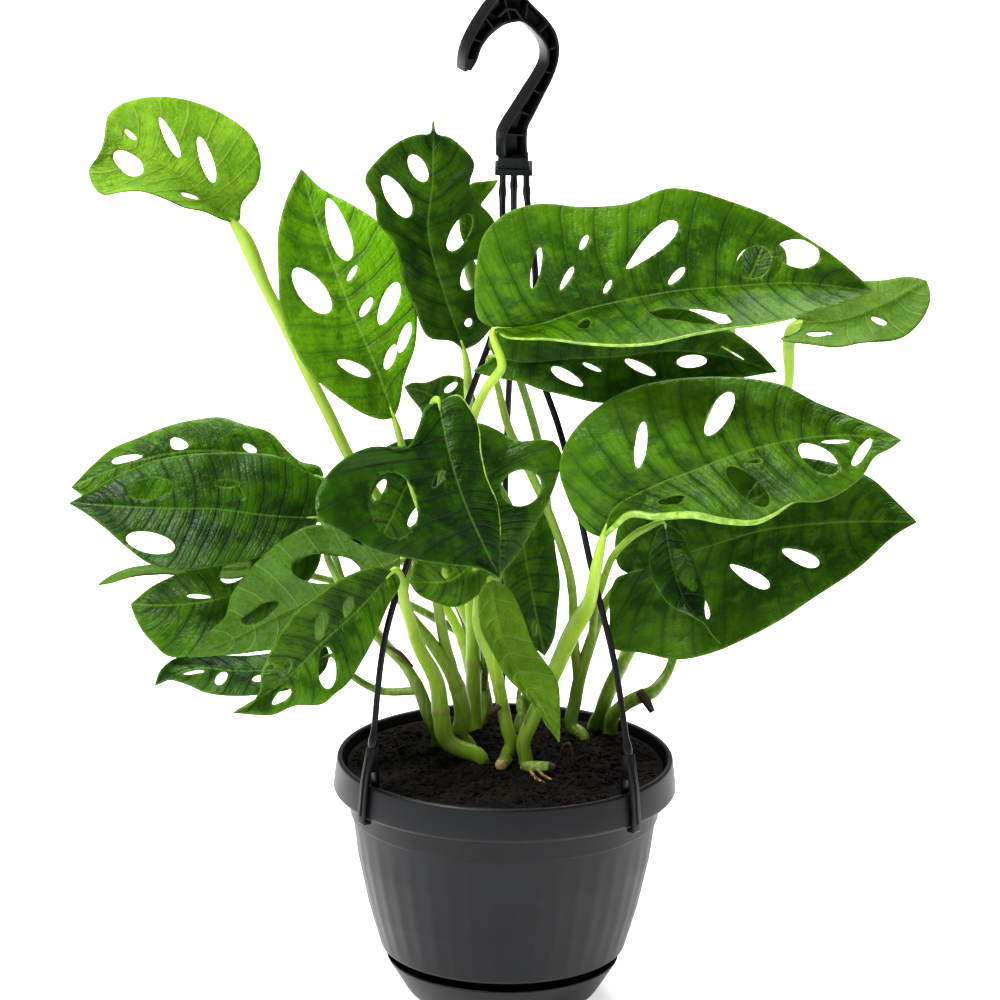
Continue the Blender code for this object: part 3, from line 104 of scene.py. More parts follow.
# %% Leaves as drawn from the front
LEAVES = {
    "leaf_pale_top_left": {
        "depth": 20, "turn": 0.15, "lean": 0.25, "lift": (6, -22), "bow": -8,
        "rib": [(-137, 396), (-162, 419), (-181, 431), (-198, 443)],
        "left": [(-134, 396), (-132, 405), (-124, 416), (-123, 429), (-128, 440), (-138, 448),
                 (-153, 455), (-169, 458), (-181, 457), (-192, 453), (-197, 448)],
        "right": [(-141, 397), (-150, 401), (-160, 403), (-169, 407), (-183, 411), (-192, 410),
                  (-200, 409), (-205, 415), (-206, 422), (-203, 426), (-199, 435)],
        "holes": [(-167, 438, 22.2, 4.9, 116, -0.2), (-149, 427, 24.2, 6.4, 108, -0.1),
                  (-186, 439, 7.4, 2.5, 137, 0), (-187, 425, 16.8, 9.9, -38, 0.1),
                  (-157, 409, 8.9, 2.5, -20, 0)],
    },
    "leaf_upright_left": {
        "depth": 0, "turn": -0.1, "lean": 0.2, "lift": (-14, 10), "bow": -6,
        "rib": [(-57, 298), (-66, 324), (-77, 349), (-86, 372), (-96, 399), (-103, 423)],
        "left": [(-62, 297), (-70, 299), (-83, 307), (-97, 319), (-107, 335), (-113, 354),
                 (-114, 372), (-114, 392), (-110, 408)],
        "right": [(-55, 303), (-52, 319), (-47, 334), (-46, 348), (-48, 368), (-54, 384),
                  (-63, 395), (-79, 406), (-94, 414)],
        "holes": [(-85, 393, 32.6, 9.9, 108, -0.25), (-98, 362, 27.7, 12.8, 128, -0.1),
                  (-71, 354, 10.9, 4, 60, 0), (-60, 356, 23.2, 7.9, 68, 0.1),
                  (-52, 339, 16.3, 5.4, 70, 0), (-59, 329, 13.3, 4.9, 70, 0),
                  (-77, 323, 17.8, 5.9, -24, 0.1), (-78, 371, 8.9, 2.5, 60, 0)],
    },
    "leaf_dark_top": {
        "depth": 15, "turn": 0.1, "lean": 0.15, "lift": (-10, 12), "bow": -5,
        "rib": [(-23, 333), (-25, 339), (-33, 362), (-41, 393), (-39, 419), (-39, 433),
                (-39, 448)],
        "left": [(-28, 337), (-40, 339), (-47, 353), (-53, 368), (-57, 386), (-66, 398),
                 (-67, 408), (-72, 418), (-65, 429), (-56, 437), (-45, 441), (-41, 441)],
        "right": [(-17, 336), (-9, 346), (-4, 364), (-4, 381), (-10, 400), (-17, 408),
                  (-21, 416), (-19, 427), (-25, 435), (-32, 440), (-37, 441)],
        "holes": [(-46, 424, 15.8, 8.4, 125, 0), (-57, 410, 24.2, 9.9, 122, -0.1),
                  (-26, 392, 20.2, 8.9, 62, 0), (-20, 371, 16.3, 9.4, 65, 0),
                  (-21, 347, 4.4, 3.5, 60, 0)],
    },
    "leaf_tip_behind_top": {
        "depth": 38, "turn": 0, "lean": 0.2, "lift": (0, 0), "bow": 0,
        "rib": [(-21, 383), (-20, 396), (-17, 406), (-13, 414), (-7, 419)],
        "left": [(-24, 388), (-26, 401), (-24, 411), (-20, 417), (-14, 418)],
        "right": [(-19, 386), (-17, 396), (-15, 407), (-12, 411), (-9, 415)],
        "holes": [],
    },
    "leaf_broad_top_right": {
        "depth": -46, "turn": 0.02, "lean": 0.12, "lift": (8, -34), "bow": -12,
        "rib": [(-8, 344), (12, 346), (35, 354), (59, 360), (79, 364), (109, 367), (140, 369),
                (177, 365)],
        "left": [(-15, 348), (-18, 364), (-17, 378), (-14, 391), (-5, 401), (11, 407),
                 (34, 406), (56, 408), (77, 416), (88, 415), (105, 410), (124, 403),
                 (142, 393), (157, 383), (169, 373)],
        "right": [(-3, 340), (5, 339), (17, 339), (35, 337), (53, 336), (68, 337), (89, 342),
                  (104, 345), (125, 348), (144, 353), (162, 359)],
        "holes": [(12, 375, 20.7, 4.4, 80, 0), (27, 370, 12.8, 3, 62, 0.2),
                  (35, 388, 7.9, 3, 65, 0), (47, 366, 7.4, 2.5, 62, 0),
                  (68, 387, 33.6, 8.9, 45, 0.5), (81, 371, 11.9, 4.4, 58, 0.1),
                  (118, 379, 17.8, 15.8, 35, 0), (139, 385, 21.7, 16.3, -10, 0.1),
                  (88, 351, 41.5, 6.9, -4, 0.2), (36, 346, 6.9, 4, 25, 0)],
    },
    "leaf_far_right": {
        "depth": 46, "turn": -0.1, "lean": 0.3, "lift": (8, -14), "bow": -6,
        "rib": [(143, 349), (161, 350), (181, 358), (203, 371)],
        "left": [(136, 354), (139, 362), (148, 368), (165, 370), (182, 371), (195, 373)],
        "right": [(140, 344), (132, 341), (148, 338), (161, 337), (170, 339), (193, 343),
                  (202, 353), (205, 363)],
        "holes": [(180, 351, 8.4, 3, -22, 0), (151, 344, 12.8, 2.5, 2, 0)],
    },
    "leaf_behind_right": {
        "depth": 62, "turn": 0, "lean": 0.2, "lift": (6, -6), "bow": -3,
        "rib": [(109, 348), (114, 365), (121, 383), (124, 391)],
        "left": [(103, 357), (106, 370), (112, 383), (119, 390)],
        "right": [(117, 352), (129, 363), (134, 376), (133, 386), (128, 390)],
        "holes": [(125, 369, 8.9, 4, 60, 0)],
    },
    "leaf_back_right": {
        "depth": 58, "turn": -0.05, "lean": 0.2, "lift": (8, -8), "bow": -4,
        "rib": [(77, 227), (95, 242), (119, 258), (144, 269)],
        "left": [(73, 234), (77, 250), (94, 266), (116, 274), (134, 273)],
        "right": [(81, 221), (100, 224), (122, 238), (139, 256)],
        "holes": [(97, 255, 14.8, 4.9, 40, 0), (112, 243, 13.8, 4.9, 40, 0)],
    },
    "leaf_back_left": {
        "depth": 90, "turn": 0, "lean": 0.2, "lift": (8, -8), "bow": -4,
        "rib": [(-94, 245), (-115, 247), (-138, 250), (-162, 252)],
        "left": [(-94, 255), (-108, 266), (-130, 270), (-152, 264)],
        "right": [(-98, 236), (-118, 228), (-140, 232), (-157, 242)],
        "holes": [(-123, 260, 13.8, 4.4, -20, 0), (-135, 239, 12.8, 4.4, 20, 0)],
    },
    "leaf_back_centre": {
        "depth": 42, "turn": 0, "lean": 0, "lift": (2, -2), "bow": -1,
        "rib": [(-39, 282), (-49, 266), (-58, 246), (-67, 227)],
        "left": [(-45, 287), (-61, 283), (-73, 266), (-76, 245), (-72, 232)],
        "right": [(-34, 276), (-34, 256), (-41, 235), (-56, 225)],
        "holes": [(-64, 261, 12.8, 4.4, 60, 0), (-46, 248, 12.8, 4.4, 60, 0)],
    },
    "leaf_under_broad": {
        "depth": -26, "turn": 0, "lean": 0.15, "lift": (3, -4), "bow": -2,
        "rib": [(-8, 330), (8, 327), (27, 329), (54, 331), (77, 334), (103, 332), (131, 324)],
        "left": [(-11, 336), (-3, 346), (24, 355), (53, 358), (83, 356), (107, 345), (122, 334)],
        "right": [(-13, 326), (-18, 323), (-6, 319), (5, 317), (16, 313), (25, 311), (44, 307),
                  (69, 311), (93, 316), (115, 321)],
        "holes": [(28, 320, 17.8, 5.4, -30, -0.2), (40, 325, 9.9, 2.2, -25, 0),
                  (64, 326, 16.8, 4.9, -32, 0), (89, 329, 14.8, 6.9, 5, 0),
                  (108, 331, 14.8, 2.2, -48, 0)],
    },
    "leaf_middle_right": {
        "depth": -56, "turn": -0.04, "lean": 0.12, "lift": (12, -18), "bow": -12,
        "rib": [(47, 238), (51, 251), (72, 265), (91, 273), (113, 282), (133, 288), (163, 292),
                (193, 290)],
        "left": [(41, 240), (33, 250), (28, 261), (25, 271), (27, 284), (35, 297), (46, 307),
                 (61, 315), (77, 319), (102, 321), (121, 320), (135, 317), (150, 309),
                 (165, 303), (182, 296)],
        "right": [(51, 242), (60, 250), (72, 249), (91, 250), (107, 247), (124, 247),
                  (132, 251), (141, 257), (154, 258), (166, 264), (174, 271), (181, 282),
                  (188, 286)],
        "holes": [(65, 286, 23.7, 5.9, 84, 0), (103, 302, 24.7, 9.9, 62, 0.1),
                  (81, 257, 13.8, 4.4, 10, 0), (118, 265, 28.6, 10.9, -43, 0.1),
                  (121, 278, 6.9, 2.5, 0, 0), (152, 280, 23.7, 11.9, -38, 0.1),
                  (173, 285, 18.8, 6.9, 68, 0), (160, 290, 14.8, 4, -6, 0)],
    },
    "leaf_low_right": {
        "depth": 16, "turn": -0.08, "lean": 0.15, "lift": (16, -8), "bow": -8,
        "rib": [(61, 219), (77, 226), (102, 235), (127, 243), (147, 246), (173, 248), (202, 248)],
        "left": [(56, 222), (53, 234), (58, 252), (75, 268), (99, 276), (124, 280), (148, 280),
                 (166, 276), (179, 270), (192, 258)],
        "right": [(55, 218), (51, 208), (51, 195), (51, 182), (69, 178), (84, 175), (103, 179),
                  (118, 186), (137, 197), (152, 208), (174, 224), (194, 243)],
        "holes": [(145, 229, 19.8, 6.9, -22, 0.3), (120, 219, 22.7, 6.4, -30, 0.4),
                  (98, 202, 11.9, 4.4, 110, 0), (90, 258, 19.8, 6.9, 60, 0),
                  (124, 264, 17.8, 5.9, 50, 0)],
    },
    "leaf_curly_hanging": {
        "depth": -26, "turn": 0.05, "lean": 0.3, "lift": (-10, 12), "bow": 6,
        "rib": [(77, 246), (81, 227), (88, 206), (106, 184)],
        "left": [(74, 242), (70, 227), (74, 212), (81, 203), (91, 198), (98, 194), (102, 188)],
        "right": [(85, 241), (90, 232), (95, 219), (98, 209), (98, 200), (100, 193)],
        "holes": [(87, 221, 22.7, 7.9, -68, 0)],
    },
    "leaf_left_back": {
        "depth": 64, "turn": 0.05, "lean": 0.2, "lift": (8, -4), "bow": -4,
        "rib": [(-91, 266), (-115, 275), (-147, 280), (-177, 276), (-197, 269), (-216, 260)],
        "left": [(-93, 272), (-103, 275), (-110, 281), (-117, 289), (-132, 294), (-141, 297),
                 (-153, 296), (-169, 292), (-183, 286), (-196, 280), (-206, 271)],
        "right": [(-94, 259), (-108, 253), (-138, 252), (-167, 252), (-192, 251), (-207, 254)],
        "holes": [(-188, 273, 15.3, 7.4, 0, 0), (-163, 281, 11.9, 7.4, 118, -0.3),
                  (-128, 281, 7.4, 4.4, -30, 0)],
    },
    "leaf_left_front": {
        "depth": 20, "turn": -0.05, "lean": 0.22, "lift": (6, -12), "bow": -8,
        "rib": [(-94, 246), (-118, 247), (-145, 250), (-172, 250), (-197, 251), (-217, 252)],
        "left": [(-92, 255), (-95, 267), (-102, 271), (-112, 277), (-125, 279), (-141, 279),
                 (-157, 278), (-176, 274), (-190, 268), (-204, 260)],
        "right": [(-96, 240), (-108, 232), (-128, 224), (-147, 220), (-166, 218), (-177, 221),
                  (-188, 229), (-199, 239), (-209, 247)],
        "holes": [(-177, 260, 22.2, 10.9, 10, 0), (-139, 263, 11.9, 3.5, 0, 0),
                  (-177, 232, 24.7, 10.9, -12, 0), (-133, 259, 7.9, 2.2, -65, 0)],
    },
    "leaf_edge_on_left": {
        "depth": 66, "turn": 0, "lean": 0.3, "lift": (20, -20), "bow": -2,
        "rib": [(-125, 220), (-150, 218), (-172, 218), (-190, 216), (-203, 210)],
        "left": [(-128, 223), (-152, 221), (-172, 221), (-190, 218), (-198, 214)],
        "right": [(-128, 217), (-152, 215), (-172, 216), (-188, 214), (-197, 211)],
        "holes": [],
    },
    "leaf_low_left": {
        "depth": 32, "turn": -0.02, "lean": 0.15, "lift": (8, -8), "bow": -5,
        "rib": [(-92, 232), (-115, 216), (-145, 203), (-166, 200), (-187, 200)],
        "left": [(-91, 239), (-98, 242), (-106, 244), (-118, 243), (-128, 239), (-138, 234),
                 (-147, 225), (-158, 219), (-166, 215), (-177, 209)],
        "right": [(-93, 224), (-108, 203), (-128, 185), (-154, 174), (-170, 174), (-175, 179),
                  (-181, 186), (-185, 194)],
        "holes": [(-153, 204, 11.9, 2.5, -8, -0.2), (-135, 218, 16.8, 9.9, 35, 0)],
    },
    "leaf_curly_pale": {
        "depth": -16, "turn": -0.05, "lean": 0.35, "lift": (14, -18), "bow": -10,
        "rib": [(-53, 225), (-78, 212), (-108, 198), (-135, 183), (-158, 173)],
        "left": [(-57, 233), (-71, 238), (-86, 242), (-98, 242), (-108, 237), (-118, 229),
                 (-130, 216), (-137, 205), (-140, 194), (-148, 186), (-152, 178)],
        "right": [(-54, 217), (-63, 201), (-78, 187), (-98, 178), (-121, 177), (-134, 175),
                  (-147, 174)],
        "holes": [(-90, 219, 34.6, 17.8, -4, 0), (-121, 192, 21.7, 15.8, 10, 0)],
    },
    "leaf_low_left_dark": {
        "depth": 18, "turn": -0.05, "lean": 0.3, "lift": (8, -10), "bow": -5,
        "rib": [(-88, 175), (-108, 168), (-133, 166), (-155, 167), (-175, 158)],
        "left": [(-90, 180), (-108, 177), (-130, 174), (-150, 174), (-163, 173), (-172, 166)],
        "right": [(-90, 168), (-105, 158), (-122, 154), (-136, 153), (-151, 155), (-160, 159),
                  (-169, 161)],
        "holes": [(-156, 166, 10.9, 4.4, 15, 0), (-142, 162, 8.9, 4.9, 60, 0),
                  (-122, 162, 8.9, 4, 10, 0)],
    },
    "leaf_bottom_hanging": {
        "depth": -54, "turn": 0.1, "lean": 0.4, "lift": (-12, 2), "bow": -8,
        "rib": [(-57, 219), (-72, 201), (-93, 180), (-110, 162), (-136, 144)],
        "left": [(-61, 221), (-78, 217), (-94, 206), (-106, 196), (-110, 190), (-116, 179),
                 (-122, 165), (-123, 155), (-127, 149)],
        "right": [(-54, 216), (-60, 199), (-65, 186), (-72, 172), (-80, 159), (-86, 154),
                  (-90, 150), (-106, 148), (-117, 143), (-123, 143)],
        "holes": [(-112, 153, 11.9, 4.9, 42, 0.4), (-110, 166, 12.8, 5.4, 75, 0),
                  (-91, 170, 25.7, 9.4, 102, -0.1), (-78, 198, 13.8, 5.9, 105, 0),
                  (-93, 190, 14.8, 5.4, 80, 0), (-119, 168, 6.4, 4.4, 45, 0)],
    },
    "leaf_centre_front": {
        "depth": -58, "turn": 0.05, "lean": 0.3, "lift": (-14, 6), "bow": -8,
        "rib": [(-35, 306), (-30, 282), (-22, 256), (-12, 233), (-4, 216)],
        "left": [(-40, 305), (-45, 293), (-50, 283), (-68, 283), (-81, 277), (-90, 268),
                 (-95, 258), (-94, 246), (-85, 240), (-72, 232), (-50, 226), (-31, 223),
                 (-11, 220)],
        "right": [(-30, 309), (-26, 310), (-20, 304), (-15, 292), (-14, 282), (-11, 268),
                  (-6, 256), (-4, 243), (-4, 228)],
        "holes": [(-57, 253, 34.6, 23.7, 100, 0), (-35, 267, 9.9, 3, 60, 0)],
    },
    "leaf_centre_right": {
        "depth": -36, "turn": 0, "lean": 0.15, "lift": (-3, 4), "bow": -3,
        "rib": [(-23, 287), (-17, 267), (-8, 244), (-4, 218)],
        "left": [(-29, 284), (-35, 269), (-34, 250), (-25, 234), (-14, 224)],
        "right": [(-22, 295), (-15, 296), (-7, 293), (4, 287), (17, 288), (22, 287), (26, 280),
                  (24, 269), (20, 257), (12, 241), (3, 226)],
        "holes": [(6, 263, 20.7, 18.3, 30, 0)],
    },
    "leaf_low_centre": {
        "depth": -12, "turn": 0.1, "lean": 0.25, "lift": (-5, 5), "bow": -3,
        "rib": [(-2, 246), (-14, 228), (-28, 215), (-49, 214)],
        "left": [(-7, 250), (-21, 241), (-39, 231), (-47, 222)],
        "right": [(2, 241), (-1, 226), (-9, 213), (-14, 208), (-26, 201), (-35, 203), (-45, 208)],
        "holes": [(-31, 218, 7.4, 2.5, 110, 0), (-14, 224, 10.9, 4.4, 40, 0)],
    },
    "leaf_small_back": {
        "depth": 38, "turn": 0, "lean": 0.3, "lift": (6, -6), "bow": -3,
        "rib": [(-25, 285), (-29, 300), (-39, 310), (-52, 314)],
        "left": [(-31, 283), (-37, 289), (-41, 297), (-45, 304), (-49, 309)],
        "right": [(-18, 292), (-17, 308), (-24, 319), (-31, 320), (-42, 316), (-48, 316)],
        "holes": [(-29, 314, 7.9, 3.5, 40, 0)],
    },
    "leaf_young_hanging": {
        "depth": -38, "turn": 0, "lean": 0.35, "lift": (-10, 10), "bow": -6,
        "rib": [(-8, 215), (-5, 194), (4, 171), (17, 150), (27, 131)],
        "left": [(-12, 212), (-14, 199), (-12, 188), (-7, 178), (-1, 167), (8, 157), (17, 147),
                 (22, 138)],
        "right": [(-4, 214), (1, 210), (6, 201), (9, 193), (13, 182), (20, 172), (25, 164),
                  (27, 147)],
        "holes": [],
    },
    "leaf_behind_centre": {
        "depth": 27, "turn": 0, "lean": 0.12, "lift": (-1, 4), "bow": -2,
        "rib": [(6, 249), (9, 226), (14, 200), (19, 176)],
        "left": [(1, 246), (-3, 233), (-2, 215), (4, 195), (13, 181)],
        "right": [(11, 253), (18, 251), (22, 241), (24, 228), (26, 214), (25, 200), (23, 184)],
        "holes": [(14, 191, 7.9, 3, 85, 0)],
    },
}

print("drawn leaves:", len(LEAVES), "holes:", sum(len(leaf["holes"]) for leaf in LEAVES.values()))

# %% [markdown]
# Every leafy stem: the main stem from its foot in the soil, then the leaf stalks that leave it. A
# point has its place in the front view, its depth and the stem's radius there. A foot gives only
# its place in the soil, and a leaf gives the radius with which its stalk arrives.

# %% Stems as drawn from the front
SHOOTS = {
    "shoot_front_left": [
        [("foot", -15, -2), (-21, 126, -2, 4.5), (-28, 130, -2, 4.5), (-32, 144, -6, 4.4),
         (-35, 162, -12, 4), (-43, 179, -22, 3.4), (-50, 199, -43, 2.8),
         ("leaf", "leaf_bottom_hanging", 2.2)],
    ],
    "shoot_left": [
        [("foot", -20, 16), (-22, 132, 16, 4.3), (-21, 144, 13, 4.4), (-25, 161, 9, 4),
         (-36, 180, 4, 3.2), (-51, 202, -3, 2.6), ("leaf", "leaf_curly_pale", 2)],
        [(-23, 152, 11, 3.4), (-30, 180, 7, 3), (-34, 199, 3, 2.6), (-39, 225, 0, 2.2),
         (-43, 256, -8, 2), (-42, 287, -40, 2), ("leaf", "leaf_centre_front", 1.8)],
    ],
    "shoot_back_left": [
        [("foot", -16, 46), (-16, 143, 46, 4), (-16, 158, 45, 4), (-17, 184, 40, 3.6),
         (-18, 205, 36, 3.2), (-18, 256, 30, 2.6), (-20, 297, 24, 2.2),
         ("leaf", "leaf_dark_top", 1.8)],
        [(-17, 189, 40, 3), (-31, 220, 38, 2.4), (-45, 256, 16, 2), (-52, 279, 8, 1.9),
         ("leaf", "leaf_upright_left", 1.8)],
        [(-16, 158, 45, 3), (-22, 184, 54, 2.6), (-43, 220, 58, 2.4), (-67, 261, 54, 2.6),
         (-78, 277, 48, 2.8), (-89, 299, 41, 3), (-100, 322, 34, 3), (-118, 359, 28, 3),
         ("leaf", "leaf_pale_top_left", 2.6)],
    ],
    "shoot_far_left": [
        [("foot", -34, 20), (-34, 135, 18, 3.4), (-38, 144, 14, 3.4), (-43, 157, 14, 3.2),
         (-50, 169, 14, 2.6), (-61, 181, 18, 2.4), (-78, 204, 24, 2), (-89, 224, 24, 1.8),
         ("leaf", "leaf_left_front", 1.6)],
        [(-50, 169, 14, 2.4), (-67, 191, 34, 2), (-81, 212, 38, 1.8),
         ("leaf", "leaf_low_left", 1.6)],
        [(-43, 157, 14, 2.2), (-63, 157, 20, 2), (-80, 167, 20, 1.7),
         ("leaf", "leaf_low_left_dark", 1.5)],
    ],
    "shoot_centre": [
        [("foot", 1, 0), (3, 129, 0, 3.4), (1, 138, -1, 3.4), (-2, 153, -3, 3.2),
         (-7, 171, -6, 3), (-11, 186, -8, 2.8), (-14, 205, -8, 2.4), (-15, 231, -6, 2),
         (-17, 256, -14, 1.8), (-20, 274, -24, 1.7), ("leaf", "leaf_centre_right", 1.6)],
        [(-1, 146, -2, 2.6), (-3, 163, -14, 2.2), (-6, 184, -28, 1.9), (-8, 199, -27, 1.8),
         ("leaf", "leaf_young_hanging", 1.6)],
        [(-7, 171, -6, 2.4), (-14, 189, 2, 2.2), (-12, 226, 6, 2), (-11, 267, 0, 2.2),
         (-18, 297, -30, 2.3), (-11, 315, -46, 2.3), (-4, 325, -52, 2.3),
         ("leaf", "leaf_broad_top_right", 2)],
    ],
    "shoot_middle_right": [
        [("foot", 10, -5), (9, 129, -5, 3.6), (13, 141, -5, 3.8), (23, 166, -10, 4),
         (32, 187, -18, 4.4), (37, 197, -28, 4.4), (41, 206, -42, 3.4), (44, 221, -52, 3),
         ("leaf", "leaf_middle_right", 2.6)],
    ],
    "shoot_right": [
        [("foot", 37, 36), (34, 138, 38, 3.4), (35, 154, 40, 3.4), (38, 171, 36, 3.2),
         (42, 185, 32, 3), (47, 199, 28, 2.6), (52, 209, 22, 2.3), ("leaf", "leaf_low_right", 2)],
        [(36, 158, 40, 2.6), (34, 182, 32, 2.4), (29, 226, 12, 2.2), (10, 272, 2, 2.2),
         (-2, 298, -8, 2), (-6, 314, -13, 1.8), ("leaf", "leaf_under_broad", 1.6)],
        [(42, 185, 32, 2.2), (46, 211, 6, 2), (56, 233, -18, 1.8), (68, 243, -26, 1.7),
         ("leaf", "leaf_curly_hanging", 1.5)],
    ],
    "shoot_back_right": [
        [("foot", 46, 52), (47, 145, 50, 3.8), (50, 154, 46, 3.8), (55, 167, 46, 3.6),
         (61, 179, 46, 3), (73, 201, 64, 2.6), (95, 230, 84, 2.4), (126, 284, 76, 2.4),
         (136, 316, 58, 2.4), ("leaf", "leaf_far_right", 2.2)],
        [(55, 167, 46, 2.6), (68, 206, 72, 2.4), (81, 263, 92, 2.2), (101, 314, 78, 2),
         ("leaf", "leaf_behind_right", 1.8)],
    ],
    "shoot_low_right": [
        [("foot", 53, 44), (53, 144, 40, 3.6), (58, 150, 34, 3.6), (66, 155, 28, 3.6),
         (73, 158, 22, 3.4), (79, 166, 28, 2.6), (84, 180, 36, 2.2), (83, 206, 54, 2),
         ("leaf", "leaf_back_right", 1.8)],
    ],
    "shoot_back": [
        [("foot", 8, 48), (9, 144, 50, 3.8), (12, 158, 52, 3.6), (12, 184, 50, 3.2),
         (11, 205, 46, 2.8), (3, 246, 42, 2.4), (-9, 269, 38, 2.2),
         ("leaf", "leaf_small_back", 1.8)],
        [(12, 184, 50, 2.6), (14, 210, 42, 2.2), (9, 236, 46, 2),
         ("leaf", "leaf_behind_centre", 1.6)],
        [(11, 205, 46, 2.2), (-4, 226, 42, 2), (-24, 256, 58, 2), (-32, 274, 60, 1.9),
         ("leaf", "leaf_back_centre", 1.7)],
        [(12, 174, 50, 2.4), (19, 205, 70, 2.4), (15, 283, 74, 2.2), (-5, 343, 56, 1.8),
         ("leaf", "leaf_tip_behind_top", 1.6)],
    ],
    "shoot_far_back": [
        [("foot", -12, 60), (-10, 148, 61, 3.4), (-11, 158, 64, 3.4), (-17, 184, 70, 3.2),
         (-28, 210, 80, 2.8), (-48, 233, 84, 2.4), (-68, 256, 66, 2),
         ("leaf", "leaf_left_back", 1.6)],
        [(-17, 184, 70, 2.4), (-53, 204, 82, 2), (-88, 214, 78, 1.8),
         ("leaf", "leaf_edge_on_left", 1.5)],
        [(-28, 210, 80, 2.2), (-53, 225, 90, 2), (-78, 238, 88, 1.8),
         ("leaf", "leaf_back_left", 1.6)],
        [(-11, 158, 64, 2.4), (-10, 176, 36, 2), (-8, 202, 6, 2), (-2, 228, 12, 1.8),
         ("leaf", "leaf_low_centre", 1.5)],
    ],
}

print("drawn shoots:", len(SHOOTS), "tubes:", sum(len(tubes) for tubes in SHOOTS.values()))

# %% [markdown]
# How each leaf looks: its tone from dark to bright, which is partly its own green and partly
# painted light and shade, for the leaves that lie in light and those that lie in shade, its age
# from young to old, whether its underside faces the viewer, how strongly it is quilted between the
# veins, how far its margin waves, and how many side veins it has on each side. One table keeps the
# leaves easy to compare.

# %% Looks of the leaves
# The first number, the tone, paints each leaf darker or brighter, partly for its own green and
# partly as painted shade and light.
LOOKS = {
    "leaf_pale_top_left": (0.95, 0.1, True, 0.5, 1.5, 9),
    "leaf_upright_left": (0.65, 0.3, False, 0.4, 0.8, 10),
    "leaf_dark_top": (0.2, 0.8, False, 0.7, 1.8, 9),
    "leaf_tip_behind_top": (0.7, 0.4, False, 0.4, 0.5, 5),
    "leaf_broad_top_right": (0.42, 0.6, False, 0.8, 2.2, 15),
    "leaf_far_right": (0.4, 0.5, True, 0.7, 2.4, 8),
    "leaf_behind_right": (0.35, 0.6, False, 0.5, 0.8, 6),
    "leaf_back_right": (0.3, 0.7, False, 0.6, 1.0, 8),
    "leaf_back_left": (0.3, 0.7, False, 0.6, 1.0, 8),
    "leaf_back_centre": (0.2, 0.7, False, 0.5, 1.0, 7),
    "leaf_under_broad": (0.28, 0.7, False, 0.7, 2.0, 12),
    "leaf_middle_right": (0.36, 0.4, False, 0.9, 2.4, 14),
    "leaf_low_right": (0.3, 0.6, False, 0.5, 1.4, 13),
    "leaf_curly_hanging": (0.1, 0.8, False, 0.8, 2.8, 7),
    "leaf_left_back": (0.42, 0.6, False, 0.5, 1.4, 11),
    "leaf_left_front": (0.12, 0.6, False, 0.35, 1.4, 12),
    "leaf_edge_on_left": (0.3, 0.5, True, 0.4, 0.8, 8),
    "leaf_low_left": (0.3, 0.5, False, 0.5, 1.6, 10),
    "leaf_curly_pale": (0.2, 0.5, True, 1.2, 3.0, 10),
    "leaf_low_left_dark": (0.14, 0.7, False, 0.5, 2.0, 9),
    "leaf_bottom_hanging": (0.32, 0.6, False, 0.6, 2.0, 10),
    "leaf_centre_front": (0.06, 0.8, False, 0.6, 3.0, 10),
    "leaf_centre_right": (0.24, 0.7, False, 0.6, 2.6, 9),
    "leaf_low_centre": (0.42, 0.6, False, 0.5, 1.4, 7),
    "leaf_small_back": (0.3, 0.6, False, 0.5, 0.8, 6),
    "leaf_young_hanging": (0.72, 0.2, True, 1.1, 1.8, 9),
    "leaf_behind_centre": (0.3, 0.6, False, 0.6, 1.0, 9),
}
# Leaves with painted light on one half of the blade, and which half.
PAINTED_LIT_SIDES = {"leaf_upright_left": 1}
print("undersides toward the viewer:", [name for name, look in LOOKS.items() if look[2]])

# %% [markdown]
# A drawn point becomes a point in space by sliding it along its sight line. Seen from the camera
# it then stays where it was drawn, whatever its depth.

# %% Sight lines
def mm(value):
    return value * 0.001


def seen(x, z, depth):
    """The point at this depth on the sight line through (x, z) of the upright plane at the axis."""
    x, z, depth = np.broadcast_arrays(np.asarray(x, float), z, depth)
    flat = np.stack([x, np.zeros(x.shape), z], -1)
    return EYE + (flat - EYE) * (1.0 - depth / EYE[1])[..., None]


print("drawn at (100, 300), 20 mm behind the axis:", seen(100.0, 300.0, 20.0).round(1))

# %% [markdown]
# A rib, a margin or a stem is drawn with a few points. A curve object could join them. A cubic
# through the points is worked out here instead, because it gives evenly spaced stations and can
# carry a radius along as a fourth number.

# %% Smooth curves
def smooth(points, count):
    """Evenly spaced points on a smooth curve through the given ones."""
    points = np.asarray(points, float)
    steps = np.linalg.norm(np.diff(points, axis=0), axis=1)
    at = np.concatenate([[0.0], np.cumsum(steps)])
    slopes = np.gradient(points, at, axis=0)
    fine = []
    for i in range(len(points) - 1):
        t = np.linspace(0, 1, 40, endpoint=False)[:, None]
        span = at[i + 1] - at[i]
        fine.append(
            (2 * t**3 - 3 * t**2 + 1) * points[i]
            + (t**3 - 2 * t**2 + t) * span * slopes[i]
            + (3 * t**2 - 2 * t**3) * points[i + 1]
            + (t**3 - t**2) * span * slopes[i + 1]
        )
    fine = np.concatenate(fine + [points[-1:]])
    along = np.concatenate([[0.0], np.cumsum(np.linalg.norm(np.diff(fine, axis=0), axis=1))])
    wanted = np.linspace(0, along[-1], count)
    return np.stack([np.interp(wanted, along, fine[:, k]) for k in range(fine.shape[1])], -1)


print("three stations of an arch:", smooth([(0, 0), (10, 5), (20, 0)], 3).round(1).tolist())

# %% [markdown]
# Every mesh is made from points in millimetres. A piece that stands for a node of the model is
# kept a hair inside the model's box, rides on its body and replaces that node. Values written on
# the points let a material follow the surface.

# %% Mesh objects
BOX_MARGIN = 0.02
BOX_LOW, BOX_HIGH = (1000 * np.array(corner, float) for corner in cad_box)
BOX_LOW, BOX_HIGH = BOX_LOW + BOX_MARGIN, BOX_HIGH - BOX_MARGIN


